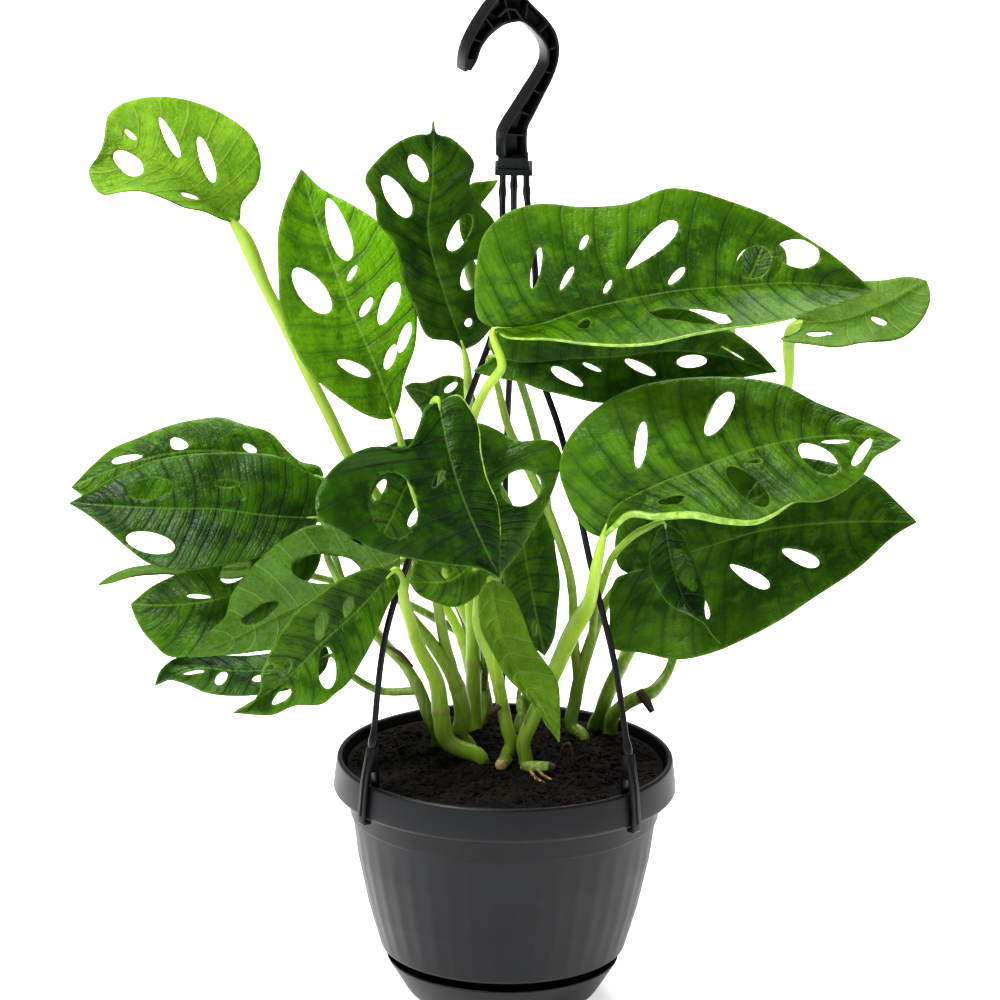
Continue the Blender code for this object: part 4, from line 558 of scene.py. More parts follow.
def linked(name, data):
    """A new object in the scene that holds a mesh, a lamp or a camera."""
    obj = bpy.data.objects.new(name, data)
    bpy.context.scene.collection.objects.link(obj)
    return obj


def new_object(name, points, faces, node=None, slot=None, smooth_faces=None):
    """A mesh object from points in millimetres, tied to the frame when a node is given."""
    points = np.asarray(points, float)
    if node:
        points = np.clip(points, BOX_LOW, BOX_HIGH)
    mesh = bpy.data.meshes.new(name)
    mesh.from_pydata(mm(points).tolist(), [], faces)
    mesh.polygons.foreach_set("use_smooth", smooth_faces or [True] * len(mesh.polygons))
    mesh.update()
    obj = linked(name, mesh)
    if node:
        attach(obj, "root")
        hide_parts(node)
    return obj


def point_value(mesh, name, values):
    made = mesh.attributes.new(name, "FLOAT", "POINT")
    made.data.foreach_set("value", np.asarray(values, np.float32))


print("box in mm:", BOX_LOW.round(1), BOX_HIGH.round(1))

# %% [markdown]
# Materials are node graphs. They could be drawn in the editor, and writing them keeps every number
# in view. These few helpers make one kind of node each and keep the graphs short.

# %% Node helpers
class Graph:
    """A material's node graph, with one method for each kind of node that is used here."""

    def __init__(self, name):
        self.material = bpy.data.materials.new(name)
        self.material.use_nodes = True
        self.tree = self.material.node_tree
        self.shader = self.tree.nodes["Principled BSDF"]
        self.output = self.tree.nodes["Material Output"]

    def put(self, socket, value):
        if isinstance(value, bpy.types.NodeSocket):
            self.tree.links.new(value, socket)
        elif isinstance(value, tuple) and len(value) == 3 and socket.type == "RGBA":
            socket.default_value = (*value, 1.0)
        else:
            socket.default_value = value

    def node(self, kind, **settings):
        made = self.tree.nodes.new(kind)
        for key, value in settings.items():
            setattr(made, key, value)
        return made

    def maths(self, operation, a, b=0.0, c=0.0, clamp=False):
        made = self.node("ShaderNodeMath", operation=operation, use_clamp=clamp)
        for socket, value in zip(made.inputs, (a, b, c)):
            self.put(socket, value)
        return made.outputs[0]

    def value(self, name):
        return self.node("ShaderNodeAttribute", attribute_name=name).outputs["Fac"]

    def place(self):
        return self.node("ShaderNodeTexCoord").outputs["Object"]

    def chart(self):
        return self.node("ShaderNodeAttribute", attribute_name="blade").outputs["Vector"]

    def noise(self, scale, detail=3.0, rough=0.5, vector=None):
        made = self.node("ShaderNodeTexNoise")
        self.put(made.inputs["Vector"], vector or self.place())
        self.put(made.inputs["Scale"], scale)
        self.put(made.inputs["Detail"], detail)
        self.put(made.inputs["Roughness"], rough)
        return made.outputs["Fac"]

    def cells(self, scale, vector=None, feature="DISTANCE_TO_EDGE"):
        made = self.node("ShaderNodeTexVoronoi", feature=feature)
        self.put(made.inputs["Vector"], vector or self.place())
        self.put(made.inputs["Scale"], scale)
        return made.outputs["Distance"]

    def span(self, value, low, high, new_low=0.0, new_high=1.0, soft=True):
        made = self.node("ShaderNodeMapRange")
        made.interpolation_type = "SMOOTHSTEP" if soft else "LINEAR"
        for key, number in (("Value", value), ("From Min", low), ("From Max", high),
                            ("To Min", new_low), ("To Max", new_high)):
            self.put(made.inputs[key], number)
        return made.outputs["Result"]

    def mix(self, share, first, second, kind="MIX"):
        made = self.node("ShaderNodeMix", data_type="RGBA", blend_type=kind)
        self.put(made.inputs[0], share)
        self.put(made.inputs[6], first)
        self.put(made.inputs[7], second)
        return made.outputs[2]

    def bump(self, height, distance, strength=1.0, below=None):
        made = self.node("ShaderNodeBump")
        self.put(made.inputs["Height"], height)
        self.put(made.inputs["Distance"], distance)
        self.put(made.inputs["Strength"], strength)
        if below:
            self.put(made.inputs["Normal"], below)
        return made.outputs["Normal"]

    def set(self, **values):
        for key, value in values.items():
            self.put(self.shader.inputs[key.replace("_", " ")], value)

    def fix(self, **values):
        """Plain numbers on the shader's own sockets, which an export can read."""
        for key, value in values.items():
            self.shader.inputs[key.replace("_", " ")].default_value = value


def scaled(factor, colour):
    return tuple(factor * c for c in colour)


def blend(dark, bright, share):
    return tuple(a + (b - a) * share for a, b in zip(dark, bright))


print("halfway from black to white:", blend((0.0, 0.0, 0.0), (1.0, 1.0, 1.0), 0.5))

# %% [markdown]
# Leaf tissue begins with its veins. The side veins run out from the rib and sweep toward the tip,
# three finer ones lie between each pair, and a net of the finest fills the rest. A painted picture
# could show them. Here they are worked out from each point's place on its leaf, so they follow
# every bend, and each leaf has its own count.

# %% Veins as a pattern
VEIN_SWEEP = 0.10
SWEEP_POWER = 1.3
FINE_VEINS = 3.0
NET_SCALE = 42.0
CRINKLE_SCALE = 11.0


def vein_pattern(graph, veins):
    """Sockets that say how near a point is to each kind of vein, by name."""
    out = graph.maths("ABSOLUTE", graph.value("across"))
    swept = graph.maths("MULTIPLY", graph.maths("POWER", out, SWEEP_POWER), VEIN_SWEEP)
    phase = graph.maths("SUBTRACT", graph.value("share"), swept)
    phase = graph.maths("MULTIPLY", phase, float(veins))
    wobble = graph.maths("MULTIPLY", graph.noise(60.0, 1.0), 0.25)
    phase = graph.maths("ADD", phase, wobble)
    saw = graph.maths("ABSOLUTE", graph.maths("SUBTRACT", graph.maths("FRACT", phase), 0.5))
    fine = graph.maths("FRACT", graph.maths("MULTIPLY", phase, FINE_VEINS))
    fine = graph.span(graph.maths("ABSOLUTE", graph.maths("SUBTRACT", fine, 0.5)), 0.25, 0.5)
    return {
        "out": out,
        "saw": saw,
        "fine": fine,
        "vein": graph.span(saw, 0.44, 0.5),
        "halo": graph.span(saw, 0.2, 0.5),
        "rib": graph.span(graph.value("rib_near"), 0.35, 1.0),
        "net": graph.span(graph.cells(NET_SCALE, graph.chart()), 0.0, 0.12, 1.0, 0.0),
        "crinkle": graph.noise(CRINKLE_SCALE, 4.0, 0.6, graph.chart()),
        "under": graph.value("under"),
    }


print("fine veins between two side veins:", FINE_VEINS)

# %% [markdown]
# The upper side is painted deep green along the veins, where the tissue is sunk, and brighter on
# the swellings between them: painted shade and highlight. Its crinkles are painted lighter on their
# crests and darker in their hollows, a painted highlight and shade of the bump, and the blade is
# painted brighter toward its margin, a painted glow of light coming through. It also has soft
# patches, tiny specks and a paler rib and margin. One flat green would look like paper, so deep and
# lit greens are mixed by several patterns, each at its own scale.

# %% Upper side of a leaf
PATCH_SCALE = 28.0
SPECK_SCALE = 420.0
DEEP_GREENS = (0.003, 0.015, 0.001), (0.040, 0.140, 0.002)
LIT_GREENS = (0.018, 0.076, 0.002), (0.20, 0.44, 0.005)
PALE_GREENS = (0.10, 0.26, 0.03), (0.42, 0.56, 0.10)


def upper_colour(graph, at, tone):
    """The colour of the upper side, from the pattern of veins and the leaf's tone."""
    deep, lit, pale = (blend(*greens, tone) for greens in (DEEP_GREENS, LIT_GREENS, PALE_GREENS))
    patches = graph.span(graph.noise(PATCH_SCALE, 4.0, 0.6), 0.35, 0.68)
    colour = graph.mix(patches, deep, lit)
    # Painted highlight and shade: lighter on the crests of the crinkle bump, darker in its hollows.
    colour = graph.mix(graph.span(at["crinkle"], 0.48, 0.66, 0.0, 0.75), colour, lit)
    colour = graph.mix(graph.span(at["crinkle"], 0.36, 0.5, 0.7, 0.0), colour, deep)
    # Painted shade: deeper green along the side veins and the fine veins, where the tissue is sunk.
    colour = graph.mix(graph.maths("MULTIPLY", at["halo"], 0.6), colour, deep)
    colour = graph.mix(graph.maths("MULTIPLY", at["fine"], 0.3), colour, deep)
    # Painted glow: brighter toward the margin, as light shining through the blade.
    outer = graph.span(at["out"], 0.55, 1.0, 0.0, 0.35 + 0.3 * tone)
    colour = graph.mix(outer, colour, lit)
    specks = graph.span(graph.noise(SPECK_SCALE, 2.0), 0.55, 0.75, 0.0, 0.25)
    colour = graph.mix(specks, colour, lit)
    line = blend(scaled(0.7, deep), pale, tone**2)
    edge = graph.maths("POWER", graph.value("rim"), 3.0)
    colour = graph.mix(graph.maths("MULTIPLY", at["vein"], 0.3), colour, line)
    colour = graph.mix(graph.maths("MULTIPLY", at["rib"], 0.45), colour, pale)
    return graph.mix(graph.maths("MULTIPLY", edge, 0.6), colour, pale)


print("darkest green:", blend(*DEEP_GREENS, 0.0), "brightest:", blend(*LIT_GREENS, 1.0))

# %% [markdown]
# The underside is paler and duller, mottled, and its veins stand out. It shows on the leaves that
# turn away. An attribute written on the points tells the two sides apart, so one material serves
# both. On one young leaf half of the blade is painted much brighter: painted light on the half that
# faces the light.

# %% Underside and painted light on one half
BACK_GREENS = (0.016, 0.085, 0.006), (0.32, 0.52, 0.035)
MOTTLE_GREEN = (0.10, 0.26, 0.012)
# Painted light: the green of the half of a blade that is painted lit.
PAINTED_LIGHT_GREEN = (0.22, 0.52, 0.012)


def under_colour(graph, at, tone, upper):
    """The colour of the underside, made from that of the upper side."""
    deep, pale = blend(*DEEP_GREENS, tone), blend(*PALE_GREENS, tone)
    back = graph.mix(0.55, upper, blend(*BACK_GREENS, tone))
    mottled = graph.span(graph.noise(75.0, 4.0, 0.65), 0.42, 0.62, 0.55, 0.0)
    back = graph.mix(mottled, back, blend(deep, MOTTLE_GREEN, tone))
    back = graph.mix(graph.maths("MULTIPLY", at["net"], 0.18), back, pale)
    return graph.mix(graph.maths("MULTIPLY", at["vein"], 0.45), back, pale)


def painted_light_half(graph, at, side, colour):
    """The colour with painted light on one half of the blade, except along its veins."""
    across = graph.maths("MULTIPLY", graph.value("across"), side)
    half = graph.span(across, -0.05, 0.75, 0.0, 0.7)
    half = graph.maths("MULTIPLY", half, graph.span(at["saw"], 0.25, 0.5, 1.0, 0.35))
    return graph.mix(half, colour, PAINTED_LIGHT_GREEN)


print("leaves with a bright half:", list(PAINTED_LIT_SIDES))

# %% [markdown]
# The tissue is finely crinkled, sunk along its veins, and its skin has a slight grain. Real
# geometry for all of it would take millions of faces, so the finest relief is a bump. It turns
# over on the underside, where a vein stands proud.

# %% Relief of a leaf
SKIN_SCALE = 900.0


def leaf_relief(graph, at, tone):
    """The normal of the leaf, with its crinkles, veins and grain."""
    height = graph.maths("MULTIPLY", at["net"], -0.10)
    height = graph.maths("SUBTRACT", height, graph.maths("MULTIPLY", at["vein"], 0.35))
    crinkled = graph.maths("MULTIPLY", at["crinkle"], 1.0 + 5.5 * tone)
    height = graph.maths("ADD", height, crinkled)
    height = graph.maths("SUBTRACT", height, graph.maths("MULTIPLY", at["fine"], 0.22))
    side = graph.span(at["under"], 0.0, 1.0, 1.0, -1.0, soft=False)
    normal = graph.bump(graph.maths("MULTIPLY", height, side), 0.0006, 0.9)
    return graph.bump(graph.noise(SKIN_SCALE, 2.0), 0.00008, 0.5, normal)


print("skin grain in mm:", round(1000 / SKIN_SCALE, 1))

# %% [markdown]
# The finished tissue is waxy on top and duller below, and older leaves shine more. Light also
# comes through a thin leaf, which makes it glow. A transparent shader would show what is behind
# the leaf, and subsurface scattering is meant for thick things, so a translucent share is mixed in.

# %% Leaf material
LEAF_IOR = 1.42
LEAF_GLOSS = 0.25
GLOW_GREENS = (0.12, 0.36, 0.005), (0.46, 0.74, 0.015)


def leaf_material(name, tone, age, veins, painted_light_side):
    graph = Graph("tissue_" + name)
    at = vein_pattern(graph, veins)
    colour = upper_colour(graph, at, tone)
    colour = graph.mix(at["under"], colour, under_colour(graph, at, tone, colour))
    # Painted light on one half of some leaves.
    if painted_light_side:
        colour = painted_light_half(graph, at, painted_light_side, colour)
    normal = leaf_relief(graph, at, tone)
    rough = graph.span(at["under"], 0.0, 1.0, 0.27 + 0.1 * (1 - age), 0.5, soft=False)
    rough = graph.maths("ADD", rough, graph.maths("MULTIPLY", graph.noise(55.0, 3.0), 0.12))
    graph.set(Base_Color=colour, Roughness=rough, Normal=normal)
    graph.fix(IOR=LEAF_IOR, Specular_IOR_Level=LEAF_GLOSS)
    through = graph.node("ShaderNodeBsdfTranslucent")
    graph.put(through.inputs["Color"], graph.mix(0.5, colour, blend(*GLOW_GREENS, tone)))
    graph.put(through.inputs["Normal"], normal)
    both = graph.node("ShaderNodeMixShader")
    graph.put(both.inputs[0], 0.14 + 0.2 * tone)
    graph.put(both.inputs[1], graph.shader.outputs[0])
    graph.put(both.inputs[2], through.outputs[0])
    graph.put(graph.output.inputs["Surface"], both.outputs[0])
    return graph.material


print("gloss of a leaf:", LEAF_GLOSS)

# %% [markdown]
# A blade spans from its rib out to each margin. Any place on it is given by two shares, one along
# the rib and one out to the margin. A subdivided plane pulled into shape would stretch its holes,
# and with shares a hole, a vein and a wave all follow the leaf's own form.

# %% The blade
LONG_WAVE, SHORT_WAVE = 17, 33
SIDE_SHIFT = 1.7
HOLE_NEAR_RIB, HOLE_NEAR_MARGIN = 0.08, 0.9


class Blade:
    """One leaf blade: places given by the share along the rib and the share out to a margin."""

    SAMPLES = 241

    def __init__(self, name):
        self.leaf = LEAVES[name]
        self.tone, self.age, self.underside, self.quilted, self.waved, self.veins = LOOKS[name]
        rib = self.leaf["rib"]
        self.rib = smooth(rib, self.SAMPLES)
        self.sides = [
            smooth([rib[0]] + self.leaf[k] + [rib[-1]], self.SAMPLES) for k in ("left", "right")
        ]
        self.shares = np.linspace(0, 1, self.SAMPLES)
        self.seed = sum(ord(c) for c in name)
        rib_way = self.place(self.shares, np.zeros(self.SAMPLES))
        self.length = np.linalg.norm(np.diff(rib_way, axis=0), axis=1).sum()
        self.widths = []
        for sign in (-1.0, 1.0):
            edge = self.place(self.shares, np.full(self.SAMPLES, sign))
            self.widths.append(np.linalg.norm(edge - rib_way, axis=1) + 1e-6)

    def drawn(self, s, t):
        rib = np.stack([np.interp(s, self.shares, self.rib[:, k]) for k in (0, 1)], -1)
        edges = [
            np.stack([np.interp(s, self.shares, side[:, k]) for k in (0, 1)], -1)
            for side in self.sides
        ]
        edge = np.where((np.asarray(t) < 0)[..., None], edges[0], edges[1])
        return rib + (edge - rib) * np.abs(t)[..., None]

    def place(self, s, t):
        """The point in space for the share s along the rib and t out, left below zero."""
        s, t = np.asarray(s, float), np.asarray(t, float)
        leaf = self.leaf
        flat = self.drawn(s, t)
        middle = np.sin(pi * np.clip(s, 0, 1))
        lift = np.where(t < 0, leaf["lift"][0], leaf["lift"][1])
        side = np.where(t < 0, 0.0, SIDE_SHIFT)
        wave = np.sin(s * LONG_WAVE + self.seed + side)
        wave = wave + 0.4 * np.sin(s * SHORT_WAVE + side * 2 + self.seed)
        depth = (
            leaf["depth"]
            + leaf["turn"] * (flat[..., 0] - self.rib[0, 0])
            + leaf["lean"] * (flat[..., 1] - self.rib[0, 1])
            + leaf["bow"] * middle
            + lift * np.abs(t) ** 1.3 * middle**0.6
            + 0.9 * self.waved * wave * np.abs(t) ** 2.2 * middle
        )
        return seen(flat[..., 0], flat[..., 1], depth)

    def width(self, s, t):
        wide = np.interp(s, self.shares, self.widths[1])
        return np.where(np.asarray(t) < 0, np.interp(s, self.shares, self.widths[0]), wide)

    def chart(self, s, t):
        """The blade laid flat, which is where it is cut into triangles."""
        s, t = np.asarray(s, float), np.asarray(t, float)
        return np.stack([s * self.length, t * self.width(s, t)], -1)

    def shares_at(self, x, z):
        """The shares of a place in the front view: the nearest of a grid, then refined."""
        s, t = np.meshgrid(np.linspace(0.02, 0.98, 97), np.linspace(-0.96, 0.96, 97), indexing="ij")
        grid = self.drawn(s, t)
        found = np.argmin(((grid - (x, z)) ** 2).sum(-1))
        s, t = s.flat[found], t.flat[found]
        for _ in range(4):
            here = self.drawn(s, t)
            along = (self.drawn(s + 0.004, t) - self.drawn(s - 0.004, t)) / 0.008
            out = (self.drawn(s, t + 0.004) - self.drawn(s, t - 0.004)) / 0.008
            turn = along[0] * out[1] - along[1] * out[0]
            if abs(turn) < 5.0:
                break
            miss = np.array([x, z]) - here
            ds = (miss[0] * out[1] - miss[1] * out[0]) / turn
            dt = (along[0] * miss[1] - along[1] * miss[0]) / turn
            s = min(max(s + np.clip(ds, -0.03, 0.03), 0.01), 0.99)
            t = min(max(t + np.clip(dt, -0.05, 0.05), -0.99), 0.99)
        return s, t

    def holes(self, steps):
        """The outline of each hole, kept between the rib and the margin on its own side."""
        outlines = []
        for x, z, length, width, angle, taper in self.leaf["holes"]:
            _, middle = self.shares_at(x, z)
            side = -1.0 if middle < 0 else 1.0
            turned = radians(angle)
            outline = []
            for i in range(steps):
                a = 2 * pi * i / steps
                u = 0.5 * length * cos(a)
                v = 0.5 * width * sin(a) * (1 + taper * cos(a))
                along_x = x + u * cos(turned) - v * sin(turned)
                up_z = z + u * sin(turned) + v * cos(turned)
                outline.append(self.shares_at(along_x, up_z))
            outline = np.array(outline)
            t = side * outline[:, 1]
            low, high = t.min(), t.max()
            share = (t - low) / (high - low)
            low, high = max(low, HOLE_NEAR_RIB), min(high, HOLE_NEAR_MARGIN)
            outline[:, 1] = side * (low + share * (high - low))
            outlines.append(outline)
        return outlines


print("longest rib in mm:", round(max(Blade(name).length for name in LEAVES)))

# %% [markdown]
# The tissue is cut into triangles on a flat chart. Two measures help: which points lie inside a
# closed outline, and how far each is from an edge, so that no thin triangles form there.

# %% Measuring on the chart
def inside(outline, places):
    """Which of the places lie inside a closed outline."""
    hit = np.zeros(len(places), bool)
    for (x1, y1), (x2, y2) in zip(outline, np.roll(outline, -1, axis=0)):
        if y1 == y2:
            continue
        spans = (y1 > places[:, 1]) != (y2 > places[:, 1])
        hit ^= spans & (places[:, 0] < (x2 - x1) * (places[:, 1] - y1) / (y2 - y1) + x1)
    return hit


def near(places, others):
    """The distance from each place to the nearest of the others."""
    found = np.full(len(places), 1e9)
    for block in range(0, len(others), 200):
        gap = places[:, None, :] - others[None, block:block + 200, :]
        found = np.minimum(found, np.sqrt((gap**2).sum(-1)).min(1))
    return found


SQUARE = [(0, 0), (2, 0), (2, 2), (0, 2)]
print("inside a square:", inside(SQUARE, np.array([(1, 1), (3, 1)])))

# %% [markdown]
# The points of a blade are its margin, its holes, a line down the rib with one beside it on each
# side, and a staggered grid in between. A Boolean could punch the holes, but it leaves long thin
# faces that shade badly.

# %% Points of a blade
GRID_STEP = 2.0
RIB_HALF_WIDTH = 1.1
HOLE_STEPS = 22


def blade_points(blade):
    """The shares of all points of a blade, its outlines as loops, and its spine."""
    steps = int(blade.length / GRID_STEP * 1.1) + 14
    around = 0.5 - 0.5 * np.cos(np.linspace(0, pi, steps + 1))
    ring = [(0.0, 0.0)] + [(s, -1.0) for s in around[1:-1]] + [(1.0, 0.0)]
    ring += [(s, 1.0) for s in around[-2:0:-1]]
    shares, loops = list(ring), [list(range(len(ring)))]
    for outline in blade.holes(HOLE_STEPS):
        loops.append(list(range(len(shares), len(shares) + len(outline))))
        shares += [tuple(p) for p in outline]
    edge_places = blade.chart(*np.array(shares).T)
    spine = [0]
    rows = max(8, int(blade.length / GRID_STEP))
    for s in np.linspace(0, 1, rows + 2)[1:-1]:
        spine.append(len(shares))
        shares.append((s, 0.0))
        for sign in (-1.0, 1.0):
            wide = float(blade.width(s, sign))
            if wide > 3.5 * RIB_HALF_WIDTH:
                shares.append((s, sign * RIB_HALF_WIDTH / wide))
    spine.append(steps)
    wide = max(w.max() for w in blade.widths)
    xs = np.arange(0, blade.length, GRID_STEP)
    ys = np.arange(-wide, wide, GRID_STEP * 0.87)
    places = np.array([(x + 0.5 * GRID_STEP * (k % 2), y) for k, y in enumerate(ys) for x in xs])
    s = places[:, 0] / blade.length
    t = places[:, 1] / blade.width(s, places[:, 1])
    fits = (s < 0.995) & (np.abs(t) < 0.98) & (np.abs(places[:, 1]) > 1.9 * RIB_HALF_WIDTH)
    for loop in loops[1:]:
        fits &= ~inside(edge_places[loop], places)
    fits &= near(places, edge_places) > 0.55 * GRID_STEP
    shares += list(zip(s[fits], t[fits]))
    return np.array(shares), loops, spine


print("points on one leaf:", len(blade_points(Blade("leaf_dark_top"))[0]))

# %% [markdown]
# A triangulation that respects given edges then joins the points. Triangles outside the margin or
# in a hole are left out. Each point keeps its shares, so it can be carried into space.

# %% Cutting the chart
def cut_chart(blade):
    """The blade on its chart: its shares, points and triangles, and the points of its edges."""
    shares, loops, spine = blade_points(blade)
    flat = blade.chart(shares[:, 0], shares[:, 1])
    edges = [(a, b) for loop in loops for a, b in zip(loop, loop[1:] + loop[:1])]
    edges += list(zip(spine, spine[1:]))
    points, _, faces, origin, _, _ = delaunay_2d_cdt([Vector(p) for p in flat], edges, [], 0, 1e-5)
    points = np.array([tuple(p) for p in points])
    faces = np.array([tuple(f) for f in faces])
    centres = points[faces].mean(1)
    kept = inside(flat[loops[0]], centres)
    for loop in loops[1:]:
        kept &= ~inside(flat[loop], centres)
    s = points[:, 0] / blade.length
    t = points[:, 1] / blade.width(s, points[:, 1])
    for i, sources in enumerate(origin):
        if sources:
            s[i], t[i] = shares[sources[0]]
    used, faces = np.unique(faces[kept], return_inverse=True)
    edge_points = flat[[i for loop in loops for i in loop]]
    return s[used], np.clip(t[used], -1, 1), points[used], faces.reshape(-1, 3), edge_points


print("triangles on one leaf:", len(cut_chart(Blade("leaf_dark_top"))[3]))

# %% [markdown]
# Between its side veins the tissue of a real leaf swells a little. A bump alone would leave the
# outline and the highlights flat, so this swelling is geometry, and only the finest veins are
# bump. The sheet then gets its two skins and a rim, by hand rather than with Solidify, because
# the material has to know which skin is which.

# %% Quilting and thickness
QUILT_DEPTH = 1.7


def quilt(blade, s, t):
    """The rise of the tissue between the side veins, which fades at the rib and the margin."""
    phase = (s - VEIN_SWEEP * np.abs(t) ** SWEEP_POWER) * blade.veins
    rise = np.abs(np.sin(pi * phase)) ** 0.7
    at_rib, at_margin = np.clip(np.abs(t) * 4, 0, 1), 1 - np.abs(t) ** 5
    fade = at_rib * at_margin * np.sin(pi * np.clip(s, 0, 1)) ** 0.4
    return QUILT_DEPTH * blade.quilted * rise * fade


def normals_of(places, faces):
    """The direction square to a sheet at each of its points."""
    first, second, third = (places[faces[:, k]] for k in range(3))
    crossed = np.cross(second - first, third - first)
    normals = np.zeros_like(places)
    for k in range(3):
        np.add.at(normals, faces[:, k], crossed)
    return normals / (np.linalg.norm(normals, axis=1)[:, None] + 1e-12)


def shell_faces(faces, count):
    """The faces of both skins and of the rim between them, and which of them shade smoothly."""
    skins = faces.tolist() + (faces[:, ::-1] + count).tolist()
    sides = {(a, b) for face in faces.tolist() for a, b in zip(face, face[1:] + face[:1])}
    rim = [(b, a, a + count, b + count) for a, b in sorted(sides) if (b, a) not in sides]
    return skins + rim, [True] * len(skins) + [False] * len(rim)


print("faces of a thick triangle:", len(shell_faces(np.array([[0, 1, 2]]), 3)[0]))

# %% [markdown]
# Now the blades are made. The rib is a shallow groove above and a ridge below. What the material
# needs is written on the points: the shares, the nearness of the rib and the margin, the side, and
# the place on the chart.

# %% Making the blades
BLADE_THICKNESS = 0.6
RIB_GROOVE, RIB_RIDGE = 0.35, 0.9
RIM_REACH, RIB_REACH = 0.8, 0.9
CHART_SCALE = 0.01


def write_values(mesh, blade, s, t, chart, edge_gap, lower_skin):
    """The values that the leaf's material reads, on the points of both skins."""
    away_rib = np.abs(t) * blade.width(s, t)
    values = {"share": s, "across": t, "rim": np.exp(-((edge_gap / RIM_REACH) ** 2)),
              "rib_near": np.exp(-((away_rib / RIB_REACH) ** 2))}
    for key, value in values.items():
        point_value(mesh, key, np.concatenate([value, value]))
    below = [float(lower_skin == 0), float(lower_skin == 1)]
    point_value(mesh, "under", np.repeat(below, len(s)))
    layer = mesh.attributes.new("blade", "FLOAT_VECTOR", "POINT")
    place = np.column_stack([chart * CHART_SCALE, np.full(len(s), blade.seed)])
    layer.data.foreach_set("vector", np.concatenate([place, place]).astype(np.float32).ravel())


def make_blade(name):
    """The fine blade of one leaf, as a closed shell."""
    blade = Blade(name)
    s, t, chart, faces, edge_points = cut_chart(blade)
    middle = blade.place(s, t)
    normals = normals_of(middle, faces)
    toward = 1.0 if (normals * (EYE - middle)).sum() > 0 else -1.0
    upper = toward * (-1.0 if blade.underside else 1.0)
    away_rib = np.abs(t) * blade.width(s, t)
    ridge = np.exp(-((away_rib / RIB_HALF_WIDTH) ** 2) * 1.2) * (1 - s) ** 0.5
    middle = middle + normals * (upper * (quilt(blade, s, t) - RIB_GROOVE * ridge))[:, None]
    half = BLADE_THICKNESS / 2
    skins = [middle + normals * half, middle - normals * half]
    lower = 1 if upper > 0 else 0
    skins[lower] = skins[lower] - normals * (upper * RIB_RIDGE * ridge)[:, None]
    shell, shaded = shell_faces(faces, len(middle))
    slot = "leaf_pale" if "pale" in name else "leaf_green"
    obj = new_object(name + "_blade", np.concatenate(skins), shell, name, slot, shaded)
    write_values(obj.data, blade, s, t, chart, near(chart, edge_points), lower)
    painted_light_side = PAINTED_LIT_SIDES.get(name, 0)
    tissue = leaf_material(name, blade.tone, blade.age, blade.veins, painted_light_side)
    obj.data.materials.append(tissue)
    return len(shell)


blade_faces = sum(make_blade(name) for name in LEAVES)
print("leaves:", len(LEAVES), "faces:", blade_faces)

# %% [markdown]
# Stems, rods, roots and rolled margins are all tubes. A curve with a bevel would make one, and a
# ring carried along the route by hand is used because the radius changes along the way and the
# ends have to be closed.

# %% Sweeping a tube
def tube_rings(route, radii, sides):
    """The points and faces of a closed tube along a route, with a radius for each of its points."""
    route = [Vector(p) for p in route]
    ways = [(b - a).normalized() for a, b in zip(route, route[1:])]
    ways = [ways[0]] + [(a + b).normalized() for a, b in zip(ways, ways[1:])] + [ways[-1]]
    side = ways[0].orthogonal().normalized()
    points, faces = [], []
    for place, way, radius in zip(route, ways, radii):
        side = (side - way * side.dot(way)).normalized()
        across = way.cross(side)
        for i in range(sides):
            angle = 2 * pi * i / sides
            points.append(place + (side * cos(angle) + across * sin(angle)) * radius)
    for ring in range(len(route) - 1):
        for i in range(sides):
            j = (i + 1) % sides
            a, b = ring * sides, (ring + 1) * sides
            faces.append((a + i, a + j, b + j, b + i))
    faces.append(tuple(reversed(range(sides))))
    faces.append(tuple(range(len(points) - sides, len(points))))
    return points, faces


print("faces of a short tube:", len(tube_rings([(0, 0, 0), (0, 0, 5)], [1, 1], 8)[1]))

# %% [markdown]
# On three leaves the margin rolls over, so its paler underside shows as a thin light strip. The
# blade could be curled there, but it is too coarse for so tight a curl, so a slim tube lies along
# the margin. Each row gives the side, the share where it starts and stops, and its radius.

# %% Rolled margins
ROLLED_EDGES = {
    "leaf_middle_right": (1.0, 0.01, 0.62, 1.9),
    "leaf_broad_top_right": (1.0, 0.02, 0.9, 0.75),
    "leaf_centre_front": (1.0, 0.05, 0.95, 0.55),
}
ROLLED_STATIONS = 90


def rolled_material():
    graph = Graph("rolled_edge")
    patch = graph.span(graph.noise(300.0, 3.0), 0.35, 0.7)
    colour = graph.mix(patch, (0.16, 0.32, 0.03), (0.34, 0.52, 0.08))
    graph.set(Base_Color=colour, Roughness=0.45, Normal=graph.bump(patch, 0.0002, 0.5))
    return graph.material


def make_rolled_edge(name, sign, start, stop, radius):
    blade = Blade(name)
    s = np.linspace(start, stop, ROLLED_STATIONS)
    route = blade.place(s, np.full(ROLLED_STATIONS, sign * 0.99))
    swell = np.sin(pi * np.linspace(0.2, 0.98, ROLLED_STATIONS)) ** 0.7
    points, faces = tube_rings(route, radius * swell, 8)
    edge = new_object(name + "_rolled_edge", points, faces)
    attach(edge, "root")
    edge.data.materials.append(rolled_material())
    return len(faces)


rolled_faces = sum(make_rolled_edge(name, *row) for name, row in ROLLED_EDGES.items())
print("rolled margins:", rolled_faces)

# %% [markdown]
# A stem is smooth and yellow-green, brighter higher up, with streaks along its length, earth at
# its foot and a little brown at its nodes. It is juicy, so some light scatters below its skin,
# which a plain colour would miss.

# %% Stem material
STEM_SCATTER = 0.003
FOOT_GREENS = (0.04, 0.10, 0.006), (0.24, 0.40, 0.02)
HIGH_GREENS = (0.08, 0.20, 0.010), (0.38, 0.56, 0.045)
PATCH_GREENS = (0.05, 0.10, 0.015), (0.14, 0.24, 0.03)
STREAK_YELLOW = (0.34, 0.46, 0.10)
EARTH, SCAR = (0.055, 0.035, 0.015), (0.20, 0.15, 0.05)


